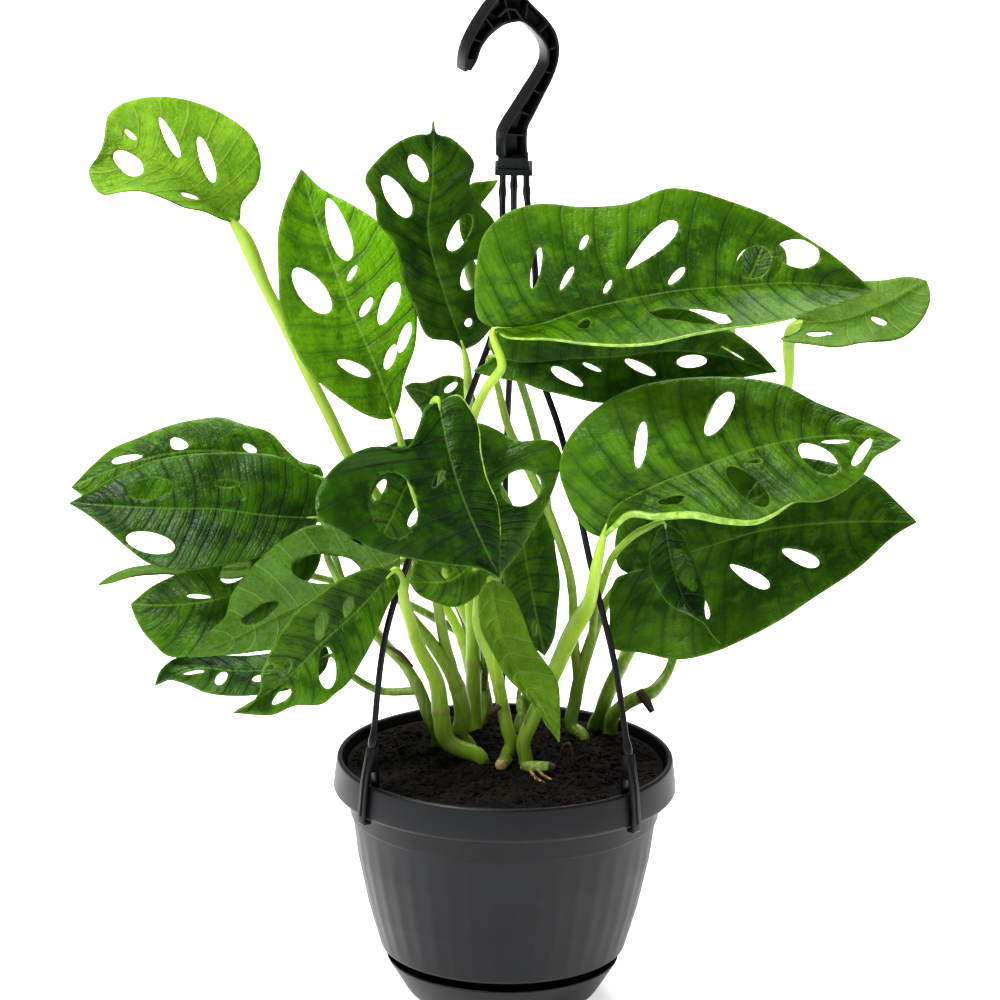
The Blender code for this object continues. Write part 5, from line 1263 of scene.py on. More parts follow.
def stem_material(name, tone):
    graph = Graph(name)
    long_noise = graph.node("ShaderNodeMapping")
    graph.put(long_noise.inputs["Vector"], graph.place())
    long_noise.inputs["Scale"].default_value = (1.0, 1.0, 0.15)
    streak = graph.noise(500.0, 2.0, 0.5, long_noise.outputs[0])
    up = graph.span(graph.value("height"), 112.0, 260.0)
    green = graph.mix(up, blend(*FOOT_GREENS, tone), blend(*HIGH_GREENS, tone))
    colour = graph.mix(graph.span(streak, 0.4, 0.7, 0.0, 0.4), green, STREAK_YELLOW)
    patch = graph.span(graph.noise(70.0, 3.0), 0.55, 0.75, 0.0, 0.45)
    colour = graph.mix(patch, colour, blend(*PATCH_GREENS, tone))
    base = graph.span(graph.value("height"), 112.0, 124.0, 0.7, 0.0)
    colour = graph.mix(base, colour, EARTH)
    ring = graph.maths("MULTIPLY", graph.value("node_ring"), 0.5)
    colour = graph.mix(ring, colour, SCAR)
    normal = graph.bump(streak, 0.0002, 0.5)
    graph.set(Base_Color=colour, Roughness=0.42, Normal=normal)
    graph.fix(Subsurface_Weight=0.12, Subsurface_Radius=(0.4, 0.9, 0.2),
              Subsurface_Scale=STEM_SCATTER)
    return graph.material


print("light spreads under the skin of a stem, in mm:", 1000 * STEM_SCATTER)

# %% [markdown]
# A shoot is one rooted stem with its forks. Its tubes thin upward, swell a little at their nodes
# and run on under each blade as far as the start of its rib. The front stems are painted lighter,
# as painted light, and those at the back are painted darker, as painted shade.

# %% Making the shoots
SOIL_Z = 121.5
STEM_FOOT_Z = 102.0
STEM_SIDES = 14
STEM_STEP = 2.2
STEM_SWAY = 0.25
NODE_SPACING = 38.0
NODE_SWELL = 0.10
# Painted light and shade: each shoot's green is lighter at the front and darker at the back.
STEM_LIGHT_AND_SHADE = {"shoot_back_left": 0.8, "shoot_centre": 0.9, "shoot_middle_right": 0.8,
              "shoot_front_left": 0.75, "shoot_left": 0.65, "shoot_back_right": 0.7,
              "shoot_right": 0.45, "shoot_back": 0.25, "shoot_far_back": 0.2,
              "shoot_far_left": 0.3, "shoot_low_right": 0.35}


def stalk_end(name, radius):
    """The last points of a leaf stalk, which run on along the underside of the rib."""
    blade = Blade(name)
    base = blade.place(np.array([0.0]), np.array([0.0]))[0]
    on = blade.place(np.array([0.045]), np.array([0.0]))[0]
    return [[*base, radius * 0.72], [*on, radius * 0.3]]


def make_shoot(name, tubes, tone):
    points, faces, heights, rings = [], [], [], []
    for number, drawn in enumerate(tubes):
        rows = []
        for point in drawn:
            if point[0] == "foot":
                rows.append([point[1], point[2], STEM_FOOT_Z, drawn[1][3]])
                rows.append([point[1], point[2], SOIL_Z + 3, drawn[1][3]])
            elif point[0] == "leaf":
                rows += stalk_end(point[1], point[2])
            else:
                rows.append([*seen(*point[:3]), point[3]])
        length = np.linalg.norm(np.diff(np.array(rows)[:, :3], axis=0), axis=1).sum()
        fine = smooth(rows, int(length / STEM_STEP))
        along = np.linspace(0, length, len(fine))
        spacing = NODE_SPACING + 5.0 * number
        ring = np.exp(-(((along % spacing) - spacing / 2) / 1.6) ** 2) * (along < 0.4 * length)
        fine[:, 3] *= 1 + NODE_SWELL * ring
        sway = [np.sin(along * 0.11 + number), np.cos(along * 0.09), along * 0]
        fine[:, :3] += np.column_stack(sway) * STEM_SWAY
        start = len(points)
        more, new_faces = tube_rings(fine[:, :3], fine[:, 3], STEM_SIDES)
        points += more
        faces += [tuple(i + start for i in face) for face in new_faces]
        heights += [p[2] for p in more]
        rings += np.repeat(ring, STEM_SIDES).tolist()
    obj = new_object(name + "_stems", points, faces, name, "stem_green")
    point_value(obj.data, "height", heights)
    point_value(obj.data, "node_ring", rings)
    obj.data.materials.append(stem_material("green_" + name, tone))
    return len(faces)


stem_faces = sum(make_shoot(name, tubes, STEM_LIGHT_AND_SHADE[name]) for name, tubes in SHOOTS.items())
print("shoots:", len(SHOOTS), "faces:", stem_faces)

# %% [markdown]
# The pot, the saucer and the hanger are moulded from one dark plastic, with a fine grain, faint
# worn patches and a little dust. Even plastic varies in gloss, and a perfectly even one looks
# drawn, so its roughness is a pattern too.

# %% Moulded plastic
ANTHRACITE = (0.0045, 0.0050, 0.0064)
DUST_GREY = (0.05, 0.05, 0.05)
PLASTIC_IOR = 1.49
PLASTIC_GLOSS = 0.34


def plastic(name, tone=1.0, rough=0.38):
    graph = Graph(name)
    colour = scaled(tone, ANTHRACITE)
    worn = graph.span(graph.noise(35.0, 4.0), 0.45, 0.75, 0.0, 0.5)
    mixed = graph.mix(worn, colour, scaled(1.6, colour))
    dust = graph.span(graph.noise(260.0, 3.0), 0.62, 0.8, 0.0, 0.10)
    mixed = graph.mix(dust, mixed, DUST_GREY)
    grain = graph.bump(graph.noise(1800.0, 2.0), 0.00006, 0.35)
    shine = graph.maths("ADD", rough, graph.maths("MULTIPLY", graph.noise(45.0, 3.0), 0.14))
    graph.set(Base_Color=mixed, Roughness=shine, Normal=grain)
    graph.fix(IOR=PLASTIC_IOR, Specular_IOR_Level=PLASTIC_GLOSS)
    return graph.material


print("plastic colour:", ANTHRACITE)

# %% [markdown]
# A moulded corner is never sharp. A Bevel on the finished pot would do, but rounding the profile
# before it is turned keeps the rings even. Long runs are cut up, so that the flutes and the shading
# have points to follow.

# %% Rounding a profile
def rounded(profile, radius, steps=4):
    """The profile with each inner corner replaced by a short arc."""
    made = [profile[0]]
    for before, here, after in zip(profile, profile[1:], profile[2:]):
        here = np.array(here, float)
        to_before, to_after = np.array(before) - here, np.array(after) - here
        reach = min(radius, 0.4 * np.linalg.norm(to_before), 0.4 * np.linalg.norm(to_after))
        a = here + to_before / np.linalg.norm(to_before) * reach
        b = here + to_after / np.linalg.norm(to_after) * reach
        for t in np.linspace(0, 1, steps + 1):
            made.append(tuple((1 - t) ** 2 * a + 2 * t * (1 - t) * here + t**2 * b))
    return made + [profile[-1]]


def filled(profile, longest=6.0):
    """The profile with long straight runs cut into shorter ones."""
    made = [profile[0]]
    for a, b in zip(profile, profile[1:]):
        pieces = max(1, int(np.hypot(b[0] - a[0], b[1] - a[1]) / longest))
        for k in range(1, pieces + 1):
            made.append(tuple(np.array(a) + (np.array(b) - np.array(a)) * k / pieces))
    return made


print("points of a rounded corner:", len(rounded([(0, 0), (5, 0), (5, 5)], 1.0)))

# %% [markdown]
# Turning a profile round the pot's axis could be left to a Screw modifier. The rings are written
# out instead, so that each point can be moved in where a flute runs.

# %% Turning a profile
POT_SIDES = 336
POT_WIDEST = 85.8


def revolve(name, profile, sides, node, slot, flute=None):
    points, faces, rings = [], [], []
    for radius, z in profile:
        if radius < 1e-6:
            rings.append([len(points)])
            points.append((0, 0, z))
            continue
        rings.append(list(range(len(points), len(points) + sides)))
        for i in range(sides):
            angle = 2 * pi * i / sides
            r = radius - (flute(angle, radius, z) if flute else 0.0)
            points.append((r * cos(angle), r * sin(angle), z))
    for low, high in zip(rings, rings[1:]):
        for i in range(sides):
            j = (i + 1) % sides
            if len(low) == 1:
                faces.append((low[0], high[j], high[i]))
            elif len(high) == 1:
                faces.append((low[i], low[j], high[0]))
            else:
                faces.append((low[i], low[j], high[j], high[i]))
    return new_object(name, points, faces, node, slot)


print("width of one side of the pot, in mm:", round(2 * pi * POT_WIDEST / POT_SIDES, 2))

# %% [markdown]
# The pot has a wide collar, a body that narrows downward with shallow flutes, and a foot ring. The
# saucer is a flared dish. Both follow the profiles of the solids, up the outside, over the rim and
# down the inside.

# %% Pot and saucer
POT_CORNER, SAUCER_CORNER = 0.9, 1.2
FLUTES = 42
FLUTE_DEPTH = 0.24
FLUTE_LOW_Z, FLUTE_HIGH_Z = 26.0, 92.0
SAUCER_OUTSIDE = [(0, 0), (43.0, 0), (46.6, 0.9), (48.6, 3.2), (58.4, 18.9), (58.2, 19.6),
                  (57.2, 19.6), (56.7, 18.9), (47.4, 4.2), (46.7, 3.6), (0, 3.6)]
POT_OUTSIDE = [(0, 24.0), (43.5, 24.0), (43.5, 3.9), (46.0, 3.9), (52.0, 23.0), (59.5, 24.0),
               (61.5, 25.5), (68.0, 48.0), (73.6, 74.0), (76.0, 92.5), (76.2, 94.0),
               (77.2, 94.6), (77.2, 106.4), (84.6, 106.8), (POT_WIDEST, 108.3), (84.0, 122.9),
               (83.3, 124.0), (81.7, 124.0), (81.0, 123.2), (79.6, 110.0), (75.3, 104.5),
               (74.3, 92.0), (71.8, 74.0), (66.3, 48.0), (59.8, 27.8), (58.4, 26.5), (0, 26.5)]


def flute_depth(angle, radius, z):
    """A shallow scallop round the pot's body, fading out toward its top and bottom."""
    if not (FLUTE_LOW_Z < z < FLUTE_HIGH_Z) or radius < 60 + (z - 24) * 0.21:
        return 0.0
    fade = min(1.0, (z - FLUTE_LOW_Z) / 5.0, (FLUTE_HIGH_Z - z) / 6.0)
    return FLUTE_DEPTH * fade * abs(sin(angle * FLUTES / 2)) ** 1.5


def make_pot():
    outside = filled(rounded(POT_OUTSIDE, POT_CORNER))
    pot = revolve("pot_shell", outside, POT_SIDES, "pot", "pot", flute_depth)
    pot.data.materials.append(plastic("pot_plastic"))
    dish = filled(rounded(SAUCER_OUTSIDE, SAUCER_CORNER))
    saucer = revolve("saucer_dish", dish, POT_SIDES // 2, "saucer", "saucer")
    saucer.data.materials.append(plastic("saucer_plastic"))
    return len(pot.data.polygons) + len(saucer.data.polygons)


print("pot and saucer faces:", make_pot())

# %% [markdown]
# The hook and the clips are made up of plates, blocks and slabs, as a mould would form them. A
# Boolean union could join them. They overlap as in the solids and are hidden where they do, so
# adding their faces to one mesh is enough, and a small Bevel softens every edge.

# %% Moulding helpers
HOOK_HALF_DEPTH = 5.0
HOOK_SIDE_STEP = 4.3


def stepped(x, y):
    """The hook's sides stand a little apart: its back is further left than its front."""
    return x - HOOK_SIDE_STEP * (y + HOOK_HALF_DEPTH) / (2 * HOOK_HALF_DEPTH)


def join_mesh(obj, points, faces):
    """Adds more faces to a mesh object, with all faces turned outwards."""
    work = bmesh.new()
    work.from_mesh(obj.data)
    made = [work.verts.new(mm(Vector(p))) for p in points]
    for face in faces:
        work.faces.new([made[i] for i in face])
    bmesh.ops.recalc_face_normals(work, faces=work.faces)
    work.to_mesh(obj.data)
    work.free()


BOX_FACES = [(0, 1, 3, 2), (4, 6, 7, 5), (0, 4, 5, 1), (2, 3, 7, 6), (0, 2, 6, 4), (1, 5, 7, 3)]


def add_block(obj, low, high):
    xs, ys, zs = zip(low, high)
    join_mesh(obj, [(x, y, z) for x in xs for y in ys for z in zs], BOX_FACES)


def add_wall(obj, start, end, along, low, high, thick):
    """A thin plate between two drawn points, set across the run of the channel."""
    along = along / np.linalg.norm(along) * thick / 2
    corners = []
    for side in (-1, 1):
        for p in (start, end):
            for y in (low, high):
                q = p + along * side
                corners.append((stepped(q[0], y), y, q[1]))
    join_mesh(obj, corners, BOX_FACES)


def add_slab(obj, profile, half_width, out, across):
    """A profile of (radius, z) made as thick as the clip is wide, facing out of the pot."""
    made = [out * r + across * w + np.array([0, 0, z])
            for w in (-half_width, half_width) for r, z in profile]
    count = len(profile)
    faces = [tuple(range(count)), tuple(reversed(range(count, 2 * count)))]
    faces += [(i, (i + 1) % count, (i + 1) % count + count, i + count) for i in range(count)]
    join_mesh(obj, made, faces)


def apply_modifiers(obj):
    graph = bpy.context.evaluated_depsgraph_get()
    mesh = bpy.data.meshes.new_from_object(obj.evaluated_get(graph))
    obj.modifiers.clear()
    obj.data = mesh


def soften(obj, width):
    """Rounds the sharp edges by this many millimetres."""
    bevel = obj.modifiers.new("edges", "BEVEL")
    bevel.width = mm(width)
    bevel.segments = 2
    bevel.limit_method = "ANGLE"
    apply_modifiers(obj)


print("the hook's back edge is left of its front edge by:", HOOK_SIDE_STEP)

# %% [markdown]
# The hook is a channel that opens toward the viewer. Each row below is a pair of points on its
# outer and inner edge. One section, a wall on each side of a thin web, is carried from pair to
# pair. Its tip is solid, so there the web comes forward.

# %% The hook's channel
HOOK = [(-23.9, 473.2, -20.5, 474.3), (-23.7, 479.2, -18.1, 478.4), (-22.1, 486.1, -15.8, 485.2),
        (-19.3, 492.5, -13, 489.6), (-14.5, 500.9, -9.1, 493.6), (-9.6, 507.8, -4.8, 496.6),
        (-4.1, 512.8, -0.5, 497.9), (2.7, 511.9, 3.3, 498.2), (9.5, 505.6, 6.7, 496.3),
        (15.8, 499.4, 10.2, 492.9), (19.8, 493.5, 13.6, 489), (21.7, 486.2, 15.7, 484.1),
        (21.2, 478.8, 15.6, 478.2), (18.7, 470.9, 12.9, 472.3), (14, 460.9, 8.1, 464.3),
        (9.8, 451.9, 2.7, 455.3), (7, 445.5, -2.7, 446.3), (6.7, 441, -4.5, 441.8),
        (6.9, 434.5, -4.5, 434.4), (7.1, 430, -4.4, 430)]
HOOK_WALL = 1.2
HOOK_RINGS = 110
TIP_RINGS = 5
SECTION_POINTS = 14


def channel_section(number, row):
    """The section at one station, from the outer edge round the web to the inner edge."""
    deep = HOOK_HALF_DEPTH
    o, i = row[:2], row[2:]
    way = (i - o) / np.linalg.norm(i - o)
    o2, i2 = o + way * HOOK_WALL, i - way * HOOK_WALL
    web = deep - HOOK_WALL if number > TIP_RINGS else 0.6 - deep
    ring = [(o, -deep + 0.3), (o, deep - 0.4), (o + way * 0.4, deep), (i - way * 0.4, deep),
            (i, deep - 0.4), (i, -deep + 0.3), (i - way * 0.3, -deep), (i2 + way * 0.2, -deep),
            (i2, -deep + 0.3), (i2, web), (o2, web), (o2, -deep + 0.3), (o2 - way * 0.2, -deep),
            (o + way * 0.3, -deep)]
    return [(stepped(p[0], y), y, p[1]) for p, y in ring]


def make_channel(stations):
    points, faces = [], []
    for number, row in enumerate(stations):
        points += channel_section(number, row)
    size = SECTION_POINTS
    for ring in range(HOOK_RINGS - 1):
        for k in range(size):
            a, b = ring * size, (ring + 1) * size
            faces.append((a + k, a + (k + 1) % size, b + (k + 1) % size, b + k))
    last = len(points) - size
    faces += [tuple(range(size)), tuple(range(last, last + size))]
    return new_object("hook_channel", points, faces, "hook", "hanger")


print("pairs of points on the hook:", len(HOOK))

# %% [markdown]
# Thin cross ribs stiffen the channel, an arched rib follows its top, and a socket block at its
# foot takes the rods. Copies along a curve could place the ribs, but each has its own width, so
# each is a plate between the two edges at its station.

# %% Ribs and socket of the hook
CROSS_RIBS = 10
CROSS_RIB_THICKNESS = 0.8
ARCH = [(-7.6, 500.5), (-3.5, 504.4), (0.4, 504.0), (3.1, 499.9), (8.4, 495.8)]
SOCKET_Z = (423.0, 426.0, 431.4)
SOCKET_BLOCKS = [((-8.8, -8.6, SOCKET_Z[0]), (9.4, 11.0, SOCKET_Z[1])),
                 ((-7.4, -7.0, SOCKET_Z[1]), (7.4, 6.4, SOCKET_Z[2]))]
SOCKET_RIBS_X = (-4.2, 0.2, 4.6)
HOOK_SOFTENING = 0.2


def make_hook():
    stations = smooth(HOOK, HOOK_RINGS)
    hook = make_channel(stations)
    front, back = -HOOK_HALF_DEPTH, HOOK_HALF_DEPTH - HOOK_WALL
    for share in np.linspace(0.12, 0.9, CROSS_RIBS):
        k = int(share * HOOK_RINGS)
        run = stations[k + 1, :2] - stations[k - 1, :2]
        edges = stations[k, :2], stations[k, 2:]
        add_wall(hook, *edges, run, front + 1.6, back, CROSS_RIB_THICKNESS)
    for a, b in zip(np.array(ARCH), np.array(ARCH[1:])):
        way = b - a
        add_wall(hook, a, b, np.array([-way[1], way[0]]), front + 0.4, back, 1.0)
    for low, high in SOCKET_BLOCKS:
        add_block(hook, low, high)
    for x in SOCKET_RIBS_X:
        add_block(hook, (x - 0.45, -7.5, SOCKET_Z[1]), (x + 0.45, -7.0, SOCKET_Z[2] - 0.4))
    hook.data.materials.append(plastic("hanger_plastic", 0.8, 0.3))
    soften(hook, HOOK_SOFTENING)
    return len(hook.data.polygons)


print("hook faces:", make_hook())

# %% [markdown]
# Three thin rods run from the socket down to the rim, each bowed round the leaves. A rod thickens
# at its neck and its knuckle, and ends in a clip whose barb grips under the collar. The rod is
# swept as a tube, and the clip is its side view made as thick as the clip is wide.

# %% Rods and clips
ROD_RADIUS = 1.6
ROD_RINGS = 150
ROD_SIDES = 18
ROD_SOFTENING = 0.3
RODS = {
    "left": [(-5, 406, -6), (-9, 342, -14), (-17, 318, -17), (-39, 254, -26), (-60, 187, -38)],
    "right": [(6.6, 406, -6), (11, 379, -9), (16, 318, -17), (23, 298, -20), (43, 216, -33),
              (54, 172, -42)],
    "back": [(0.5, 406, 8), (1, 360, 22), (-1, 300, 40), (-2, 220, 62), (-2, 172, 74)],
}
CLIP_ANGLES = {"left": 216.5, "right": 318.0, "back": 92.0}
CLIP_HALF_WIDTH = 2.5
CLIP_TOP_Z = 143.5
CLIP_PROFILE = [(83.4, 104.4), (83.4, 106.1), (86.25, 106.3), (86.25, 109.0), (84.5, 124.6),
                (83.4, 131.0), (81.0, 131.0), (80.4, 124.8), (80.1, 121.6), (78.5, 121.6),
                (78.7, 132.0), (79.8, 143.5), (83.2, 143.5), (86.6, 127.0), (88.4, 109.0),
                (88.4, 105.2), (87.6, 104.4)]
CLIP_RIB = [(88.2, 108.0), (86.5, 126.5), (83.6, 139.0), (84.4, 139.4), (87.4, 127.0),
            (89.1, 109.0)]
CLIP_RIB_HALF_WIDTH = 0.55


def make_rod(side):
    path = [seen(*row) for row in RODS[side]]
    head, neck = path[0].copy(), path[0].copy()
    head[2], neck[2] = SOCKET_Z[0] + 4.6, SOCKET_Z[0] - 4
    angle = radians(CLIP_ANGLES[side])
    out = np.array([cos(angle), sin(angle), 0.0])
    across = np.array([-sin(angle), cos(angle), 0.0])
    seat = out * 81.5 + np.array([0, 0, CLIP_TOP_Z - 2])
    route = smooth([head, neck] + path[1:] + [seat], ROD_RINGS)
    along = np.linspace(0, 1, ROD_RINGS)
    knuckle = 0.55 * np.exp(-(((along - 0.985) / 0.012) ** 2))
    radii = ROD_RADIUS * (1 + 0.25 * np.exp(-(((along - 0.045) / 0.008) ** 2)) + knuckle)
    points, faces = tube_rings(route, radii, ROD_SIDES)
    rod = new_object(f"rod_{side}_moulded", points, faces, f"rod_{side}", "hanger")
    add_slab(rod, CLIP_PROFILE, CLIP_HALF_WIDTH, out, across)
    add_slab(rod, CLIP_RIB, CLIP_RIB_HALF_WIDTH, out, across)
    soften(rod, ROD_SOFTENING)
    rod.data.polygons.foreach_set("use_smooth", [True] * len(rod.data.polygons))
    rod.data.materials.append(plastic(f"rod_{side}_plastic", 0.75, 0.28))
    return len(rod.data.polygons)


print("rod faces:", [make_rod(side) for side in RODS])

# %% [markdown]
# The potting soil is dark, damp and lumpy, with drier bits and chips on top. One flat brown would
# look like felt, so three browns are mixed by noise, and the bump follows the same noise.

# %% Soil material
SOIL_COLOURS = (0.0014, 0.0009, 0.0007), (0.009, 0.0052, 0.0032), (0.022, 0.012, 0.0065)


def soil_material(name, bright=1.0):
    graph = Graph(name)
    damp, dry, chip = (scaled(bright, colour) for colour in SOIL_COLOURS)
    lumps = graph.noise(160.0, 6.0, 0.65)
    colour = graph.mix(graph.span(lumps, 0.35, 0.7), damp, dry)
    chips = graph.span(graph.noise(600.0, 3.0), 0.6, 0.75, 0.0, 0.5)
    colour = graph.mix(chips, colour, chip)
    normal = graph.bump(lumps, 0.0012, 0.9)
    normal = graph.bump(graph.noise(1100.0, 4.0), 0.0003, 0.8, normal)
    graph.set(Base_Color=colour, Roughness=0.93, Normal=normal)
    graph.fix(Specular_IOR_Level=0.2)
    return graph.material


print("browns of the soil:", len(SOIL_COLOURS))

# %% [markdown]
# The soil's surface is heaped a little toward the middle. A Displace modifier could roughen a
# disc, and here its height is a formula, because the crumbs have to lie on the same surface. It
# has the low swells of the solid and finer lumps from a fractal noise.

# %% Soil surface
SOIL_EDGE_RADIUS = 79.0
SOIL_EDGE_Z = 119.3
SOIL_LUMPS = 1.6
SOIL_SKIRT = [(79.0, 110.4), (74.7, 104.8), (73.7, 92.1), (71.2, 74.1), (65.7, 48.1),
              (59.1, 28.6), (57.6, 26.8)]


def soil_height(x, y):
    r = min(1.0, (x * x + y * y) ** 0.5 / SOIL_EDGE_RADIUS)
    bumps = sin(x * 0.19 + 1.0) * cos(y * 0.23) + 0.6 * sin(x * 0.37 - y * 0.31)
    fine = noise.fractal(Vector((x * 0.11, y * 0.11, 3.0)), 0.8, 2.1, 4)
    level = SOIL_Z - (SOIL_Z - SOIL_EDGE_Z) * r**4
    return level + 1.0 * bumps * (1 - r**6) + SOIL_LUMPS * fine * (1 - r**8)


def soil_disc(reach, sides, rings):
    """The soil's surface out to a radius, as points and faces."""
    points, faces = [(0, 0, soil_height(0, 0))], []
    for ring in range(1, rings + 1):
        for i in range(sides):
            a = 2 * pi * i / sides
            x, y = reach * ring / rings * cos(a), reach * ring / rings * sin(a)
            points.append((x, y, soil_height(x, y)))
    faces += [(0, 1 + i, 1 + (i + 1) % sides) for i in range(sides)]
    for ring in range(rings - 1):
        for i in range(sides):
            j = (i + 1) % sides
            a, b = 1 + ring * sides, 1 + (ring + 1) * sides
            faces.append((a + i, b + i, b + j, a + j))
    return points, faces


def make_soil():
    sides, rings = 180, 60
    points, faces = soil_disc(SOIL_EDGE_RADIUS, sides, rings)
    turns = [2 * pi * i / sides for i in range(sides)]
    last = 1 + (rings - 1) * sides
    for r, z in SOIL_SKIRT:
        start = len(points)
        points += [(r * cos(a), r * sin(a), z) for a in turns]
        for i in range(sides):
            j = (i + 1) % sides
            faces.append((last + i, start + i, start + j, last + j))
        last = start
    faces.append(tuple(reversed(range(last, last + sides))))
    soil = new_object("soil_bed", points, faces, "soil", "soil")
    soil.data.materials.append(soil_material("soil_dark"))
    return len(faces)


print("soil faces:", make_soil())

# %% [markdown]
# Crumbs and fibres lie on the soil by the thousand, so each is one small shape with few faces
# that is copied later. A crumb is a dented flat ball, and a fibre is a short bent tube.

# %% Crumb and fibre
FIBRE_RADII = [0.16, 0.2, 0.22, 0.24, 0.24, 0.22, 0.2, 0.17, 0.12]


def crumb_shape():
    mesh = bpy.data.meshes.new("crumb_shape")
    work = bmesh.new()
    bmesh.ops.create_icosphere(work, subdivisions=1, radius=mm(1))
    for i, vertex in enumerate(work.verts):
        vertex.co *= 0.75 + 0.5 * abs(sin(i * 2.3))
        vertex.co.z *= 0.7
    work.to_mesh(mesh)
    work.free()
    return linked("crumb_shape", mesh)


def fibre_shape():
    route = smooth([(-6, 0, 0.2), (-2, 1.0, 0.7), (2, 0.4, 0.9), (6, -1.4, 0.1)], len(FIBRE_RADII))
    points, faces = tube_rings(route, FIBRE_RADII, 5)
    mesh = bpy.data.meshes.new("fibre_shape")
    mesh.from_pydata([mm(Vector(p)) for p in points], [], faces)
    return linked("fibre_shape", mesh)


crumb, fibre = crumb_shape(), fibre_shape()
print("faces of a crumb and a fibre:", len(crumb.data.polygons), len(fibre.data.polygons))

# %% [markdown]
# Placing crumbs by hand is hopeless, and a particle system doesn't survive an export. Geometry
# Nodes spread points over the surface and put a turned and scaled copy on each. Density is the
# number of points on a square metre. The tree ends in Realize Instances and Set Material, because
# an export drops instances, and its seed is an input, so each run gives the same crumbs.

# %% Scattering tree
SCATTER_INPUTS = {"Density": "Int", "Low": "Float", "High": "Float", "Shape": "Object",
                  "Look": "Material", "Seed": "Int"}
CRUMB_TURN = (0.6, 0.6, 6.283)


def scatter_tree(name):
    """The node tree, and the identifier of each of its inputs by name."""
    tree = bpy.data.node_groups.new(name, "GeometryNodeTree")
    for way in ("INPUT", "OUTPUT"):
        tree.interface.new_socket("Geometry", in_out=way, socket_type="NodeSocketGeometry")
    asked = {}
    for label, kind in SCATTER_INPUTS.items():
        socket = tree.interface.new_socket(label, in_out="INPUT", socket_type="NodeSocket" + kind)
        asked[label] = socket.identifier
    given, made, spread, turn, size, info, copies, real, paint = (
        tree.nodes.new(kind) for kind in (
            "NodeGroupInput", "NodeGroupOutput", "GeometryNodeDistributePointsOnFaces",
            "FunctionNodeRandomValue", "FunctionNodeRandomValue", "GeometryNodeObjectInfo",
            "GeometryNodeInstanceOnPoints", "GeometryNodeRealizeInstances",
            "GeometryNodeSetMaterial"))
    turn.data_type = "FLOAT_VECTOR"
    turn.inputs[1].default_value = CRUMB_TURN
    for source, out, target, into in (
            (given, "Geometry", spread, "Mesh"), (given, "Seed", spread, "Seed"),
            (given, "Density", spread, "Density"), (given, "Low", size, 2),
            (given, "High", size, 3), (given, "Shape", info, "Object"),
            (spread, "Points", copies, "Points"), (info, "Geometry", copies, "Instance"),
            (turn, 0, copies, "Rotation"), (size, 1, copies, "Scale"),
            (copies, "Instances", real, "Geometry"), (real, "Geometry", paint, "Geometry"),
            (given, "Look", paint, "Material"), (paint, "Geometry", made, "Geometry")):
        tree.links.new(source.outputs[out], target.inputs[into])
    return tree, asked


print("inputs of the tree:", list(SCATTER_INPUTS))

# %% [markdown]
# Crumbs cover the soil thickly, and a few pale fibres lie among them. Each scattering becomes a
# plain mesh before the frame hears of it, and the two small shapes are then removed.

# %% Crumbs and fibres on the soil
CRUMB_REACH, CRUMB_DENSITY = 76.0, 150000
FIBRE_REACH, FIBRE_DENSITY = 72.0, 9000


def scatter(name, reach, *values):
    """Copies of a small shape on the soil out to a radius, by the values of the tree's inputs."""
    tree, asked = scatter_tree(name)
    obj = new_object(name, *soil_disc(reach, 60, 20))
    modifier = obj.modifiers.new("scatter", "NODES")
    modifier.node_group = tree
    for label, value in zip(SCATTER_INPUTS, values):
        modifier[asked[label]] = value
    bpy.context.view_layer.update()
    apply_modifiers(obj)
    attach(obj, "root")
    return len(obj.data.polygons)


crumb_look, fibre_look = soil_material("crumbs_dark", 1.6), soil_material("fibres_brown", 3.5)
crumb_values = (CRUMB_DENSITY, 0.4, 1.7, crumb, crumb_look, 3)
fibre_values = (FIBRE_DENSITY, 0.5, 1.2, fibre, fibre_look, 8)
print("crumb faces:", scatter("soil_crumbs", CRUMB_REACH, *crumb_values))
print("fibre faces:", scatter("soil_fibres", FIBRE_REACH, *fibre_values))
for shape in (crumb, fibre):
    bpy.data.objects.remove(shape)

# %% [markdown]
# Small things at the foot of the plant make it look grown: the cut end of an old stem, stubs, a
# bud, a few roots and a papery bract. Each is a short tube drawn like a stem, with its colour and
# its radius at each point, and all share one mottled, woody look.

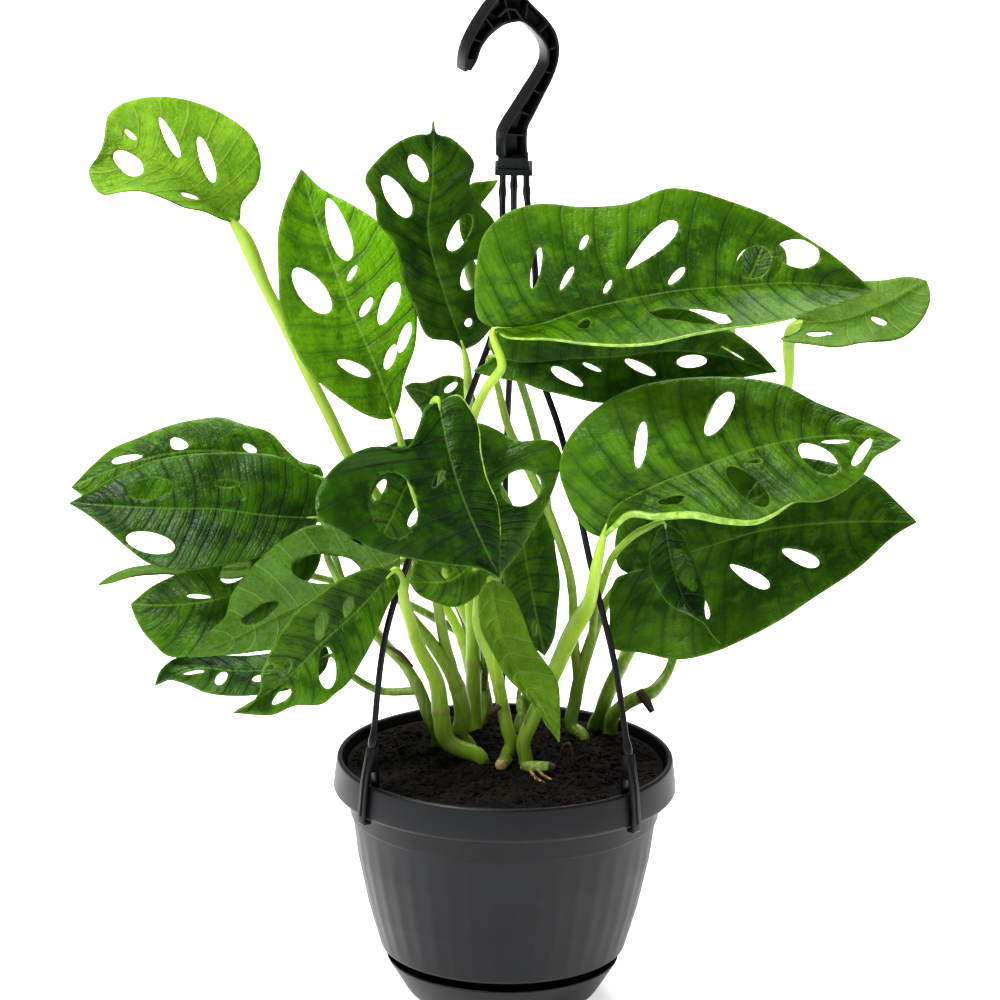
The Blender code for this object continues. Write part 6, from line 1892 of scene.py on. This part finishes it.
# %% Stubs, buds and roots
BROWN = (0.045, 0.022, 0.010)
CREAM = (0.50, 0.36, 0.16)
YELLOW = (0.36, 0.26, 0.06)
GREEN = (0.22, 0.34, 0.05)
SMALL_STATIONS, SMALL_SIDES = 16, 12
SMALL_THINGS = {
    "old_stem": (GREEN, [(-2.0, 118.5, -17.6, 3.1), (-1.0, 119.6, -10, 3.3), (1, 121, -3, 3.2)]),
    "old_stem_end": (CREAM, [(-2.0, 118.5, -18.6, 2.6), (-2.0, 118.5, -17.4, 3.0)]),
    "stub_front": (GREEN, [(8.5, 117.6, -14, 2.8), (15, 117.4, -16, 3.3), (22, 117.2, -17, 3.2)]),
    "stub_front_end": (BROWN, [(21.6, 117.2, -17, 3.1), (25, 117.0, -17, 2.4)]),
    "bud": (GREEN, [(7.7, 144, -9, 1.6), (7.0, 150, -10, 1.9), (6.4, 156, -10, 1.2),
                    (6.9, 162, -10, 0.3)]),
    "root_yellow_left": (YELLOW, [(12, 117, -26, 0.8), (14.5, 112.9, -28, 0.9),
                                  (20.7, 108.4, -33, 0.7)]),
    "root_yellow_right": (YELLOW, [(16, 117, -22, 0.8), (19, 113.5, -26, 0.8),
                                   (23.5, 111, -28, 0.6)]),
    "root_dark": (BROWN, [(27.6, 121.5, -6, 0.7), (28.8, 128, -7, 0.8), (31.6, 130.6, -8, 0.8),
                          (33.4, 126, -9, 0.7), (34.1, 117.2, -10, 0.6)]),
    "stub_orange": (BROWN, [(-7.6, 145.2, -5, 1.4), (-5.0, 148, -6, 1.7), (-2.4, 149.8, -6, 1.2)]),
    "stub_right": (BROWN, [(66.5, 158.5, 22, 2.4), (69.8, 153.6, 20, 2.3), (73.2, 147.4, 18, 1.5)]),
    "bract": (BROWN, [(-46.5, 169.5, 10, 0.6), (-54, 177, 9, 1.3), (-61.5, 181, 9, 0.3)]),
    "stem_node": (BROWN, [(-21.0, 131.5, 11, 3.9), (-23.6, 129.3, 11, 4.3),
                          (-26.5, 126.8, 11, 3.8)]),
}


def small_material(name, colour):
    graph = Graph(name)
    patch = graph.span(graph.noise(420.0, 4.0), 0.35, 0.7)
    mixed = graph.mix(patch, scaled(0.55, colour), scaled(1.2, colour))
    normal = graph.bump(graph.noise(700.0, 3.0), 0.0003, 0.7)
    graph.set(Base_Color=mixed, Roughness=0.6, Normal=normal)
    return graph.material


def make_small(name, colour, drawn):
    rows = [[*seen(*point[:3]), point[3]] for point in drawn]
    fine = smooth(rows, SMALL_STATIONS)
    points, faces = tube_rings(fine[:, :3], fine[:, 3], SMALL_SIDES)
    obj = new_object(name, points, faces)
    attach(obj, "root")
    obj.data.materials.append(small_material("look_" + name, colour))
    return len(faces)


print("small things:", sum(make_small(name, *row) for name, row in SMALL_THINGS.items()))

# %% [markdown]
# The pot stands on a plain white studio floor. A real one is lit until it has no shade of its own,
# and a little light of its own does the same here.

# %% Floor
FLOOR_Z = -0.2
FLOOR_GLOW = 0.5


def make_floor():
    corners = [(-9000, -9000), (9000, -9000), (9000, 12000), (-9000, 12000)]
    floor = new_object("floor", [(x, y, FLOOR_Z) for x, y in corners], [(0, 1, 2, 3)])
    graph = Graph("floor_white")
    graph.set(Base_Color=(0.93, 0.93, 0.93), Roughness=0.9)
    graph.fix(Emission_Color=(1.0, 1.0, 1.0, 1.0), Emission_Strength=FLOOR_GLOW)
    floor.data.materials.append(graph.material)


make_floor()
print("floor at", FLOOR_Z, "mm")

# %% [markdown]
# A key light from the upper left gives the leaves their highlights, a weak fill from the right
# opens the shade, and a wide soft box above and behind whitens the floor and shines through the
# leaves. A sky alone would be flat, and lamps can be set one by one. Each row gives a lamp's
# place, width and power, and what it points at.

# %% Light
LAMPS = {
    "key": ((-1.3, -1.1, 2.2), 0.6, 80.0, (0, 0, 0.26)),
    "fill": ((1.8, -1.8, 0.9), 1.4, 6.0, (0, 0, 0.26)),
    "overhead": ((0.1, 1.5, 2.3), 2.2, 95.0, (0.1, 1.45, 0)),
}
SKY_STRENGTH = 0.2


def area_light(name, place, size, power, aim):
    data = bpy.data.lights.new(name, "AREA")
    data.shape = "DISK"
    data.size = size
    data.energy = power
    light = linked(name, data)
    light.location = place
    way = Vector(aim) - Vector(place)
    light.rotation_euler = way.to_track_quat("-Z", "Y").to_euler()


def make_light():
    scene = bpy.context.scene
    scene.world = bpy.data.worlds.new("studio")
    scene.world.use_nodes = True
    sky = scene.world.node_tree.nodes["Background"]
    sky.inputs["Color"].default_value = (1.0, 1.0, 1.0, 1.0)
    sky.inputs["Strength"].default_value = SKY_STRENGTH
    for name, row in LAMPS.items():
        area_light(name, *row)
    scene.view_settings.view_transform = "Standard"
    scene.view_settings.look = "Medium High Contrast"


make_light()
print("lamps:", list(LAMPS))
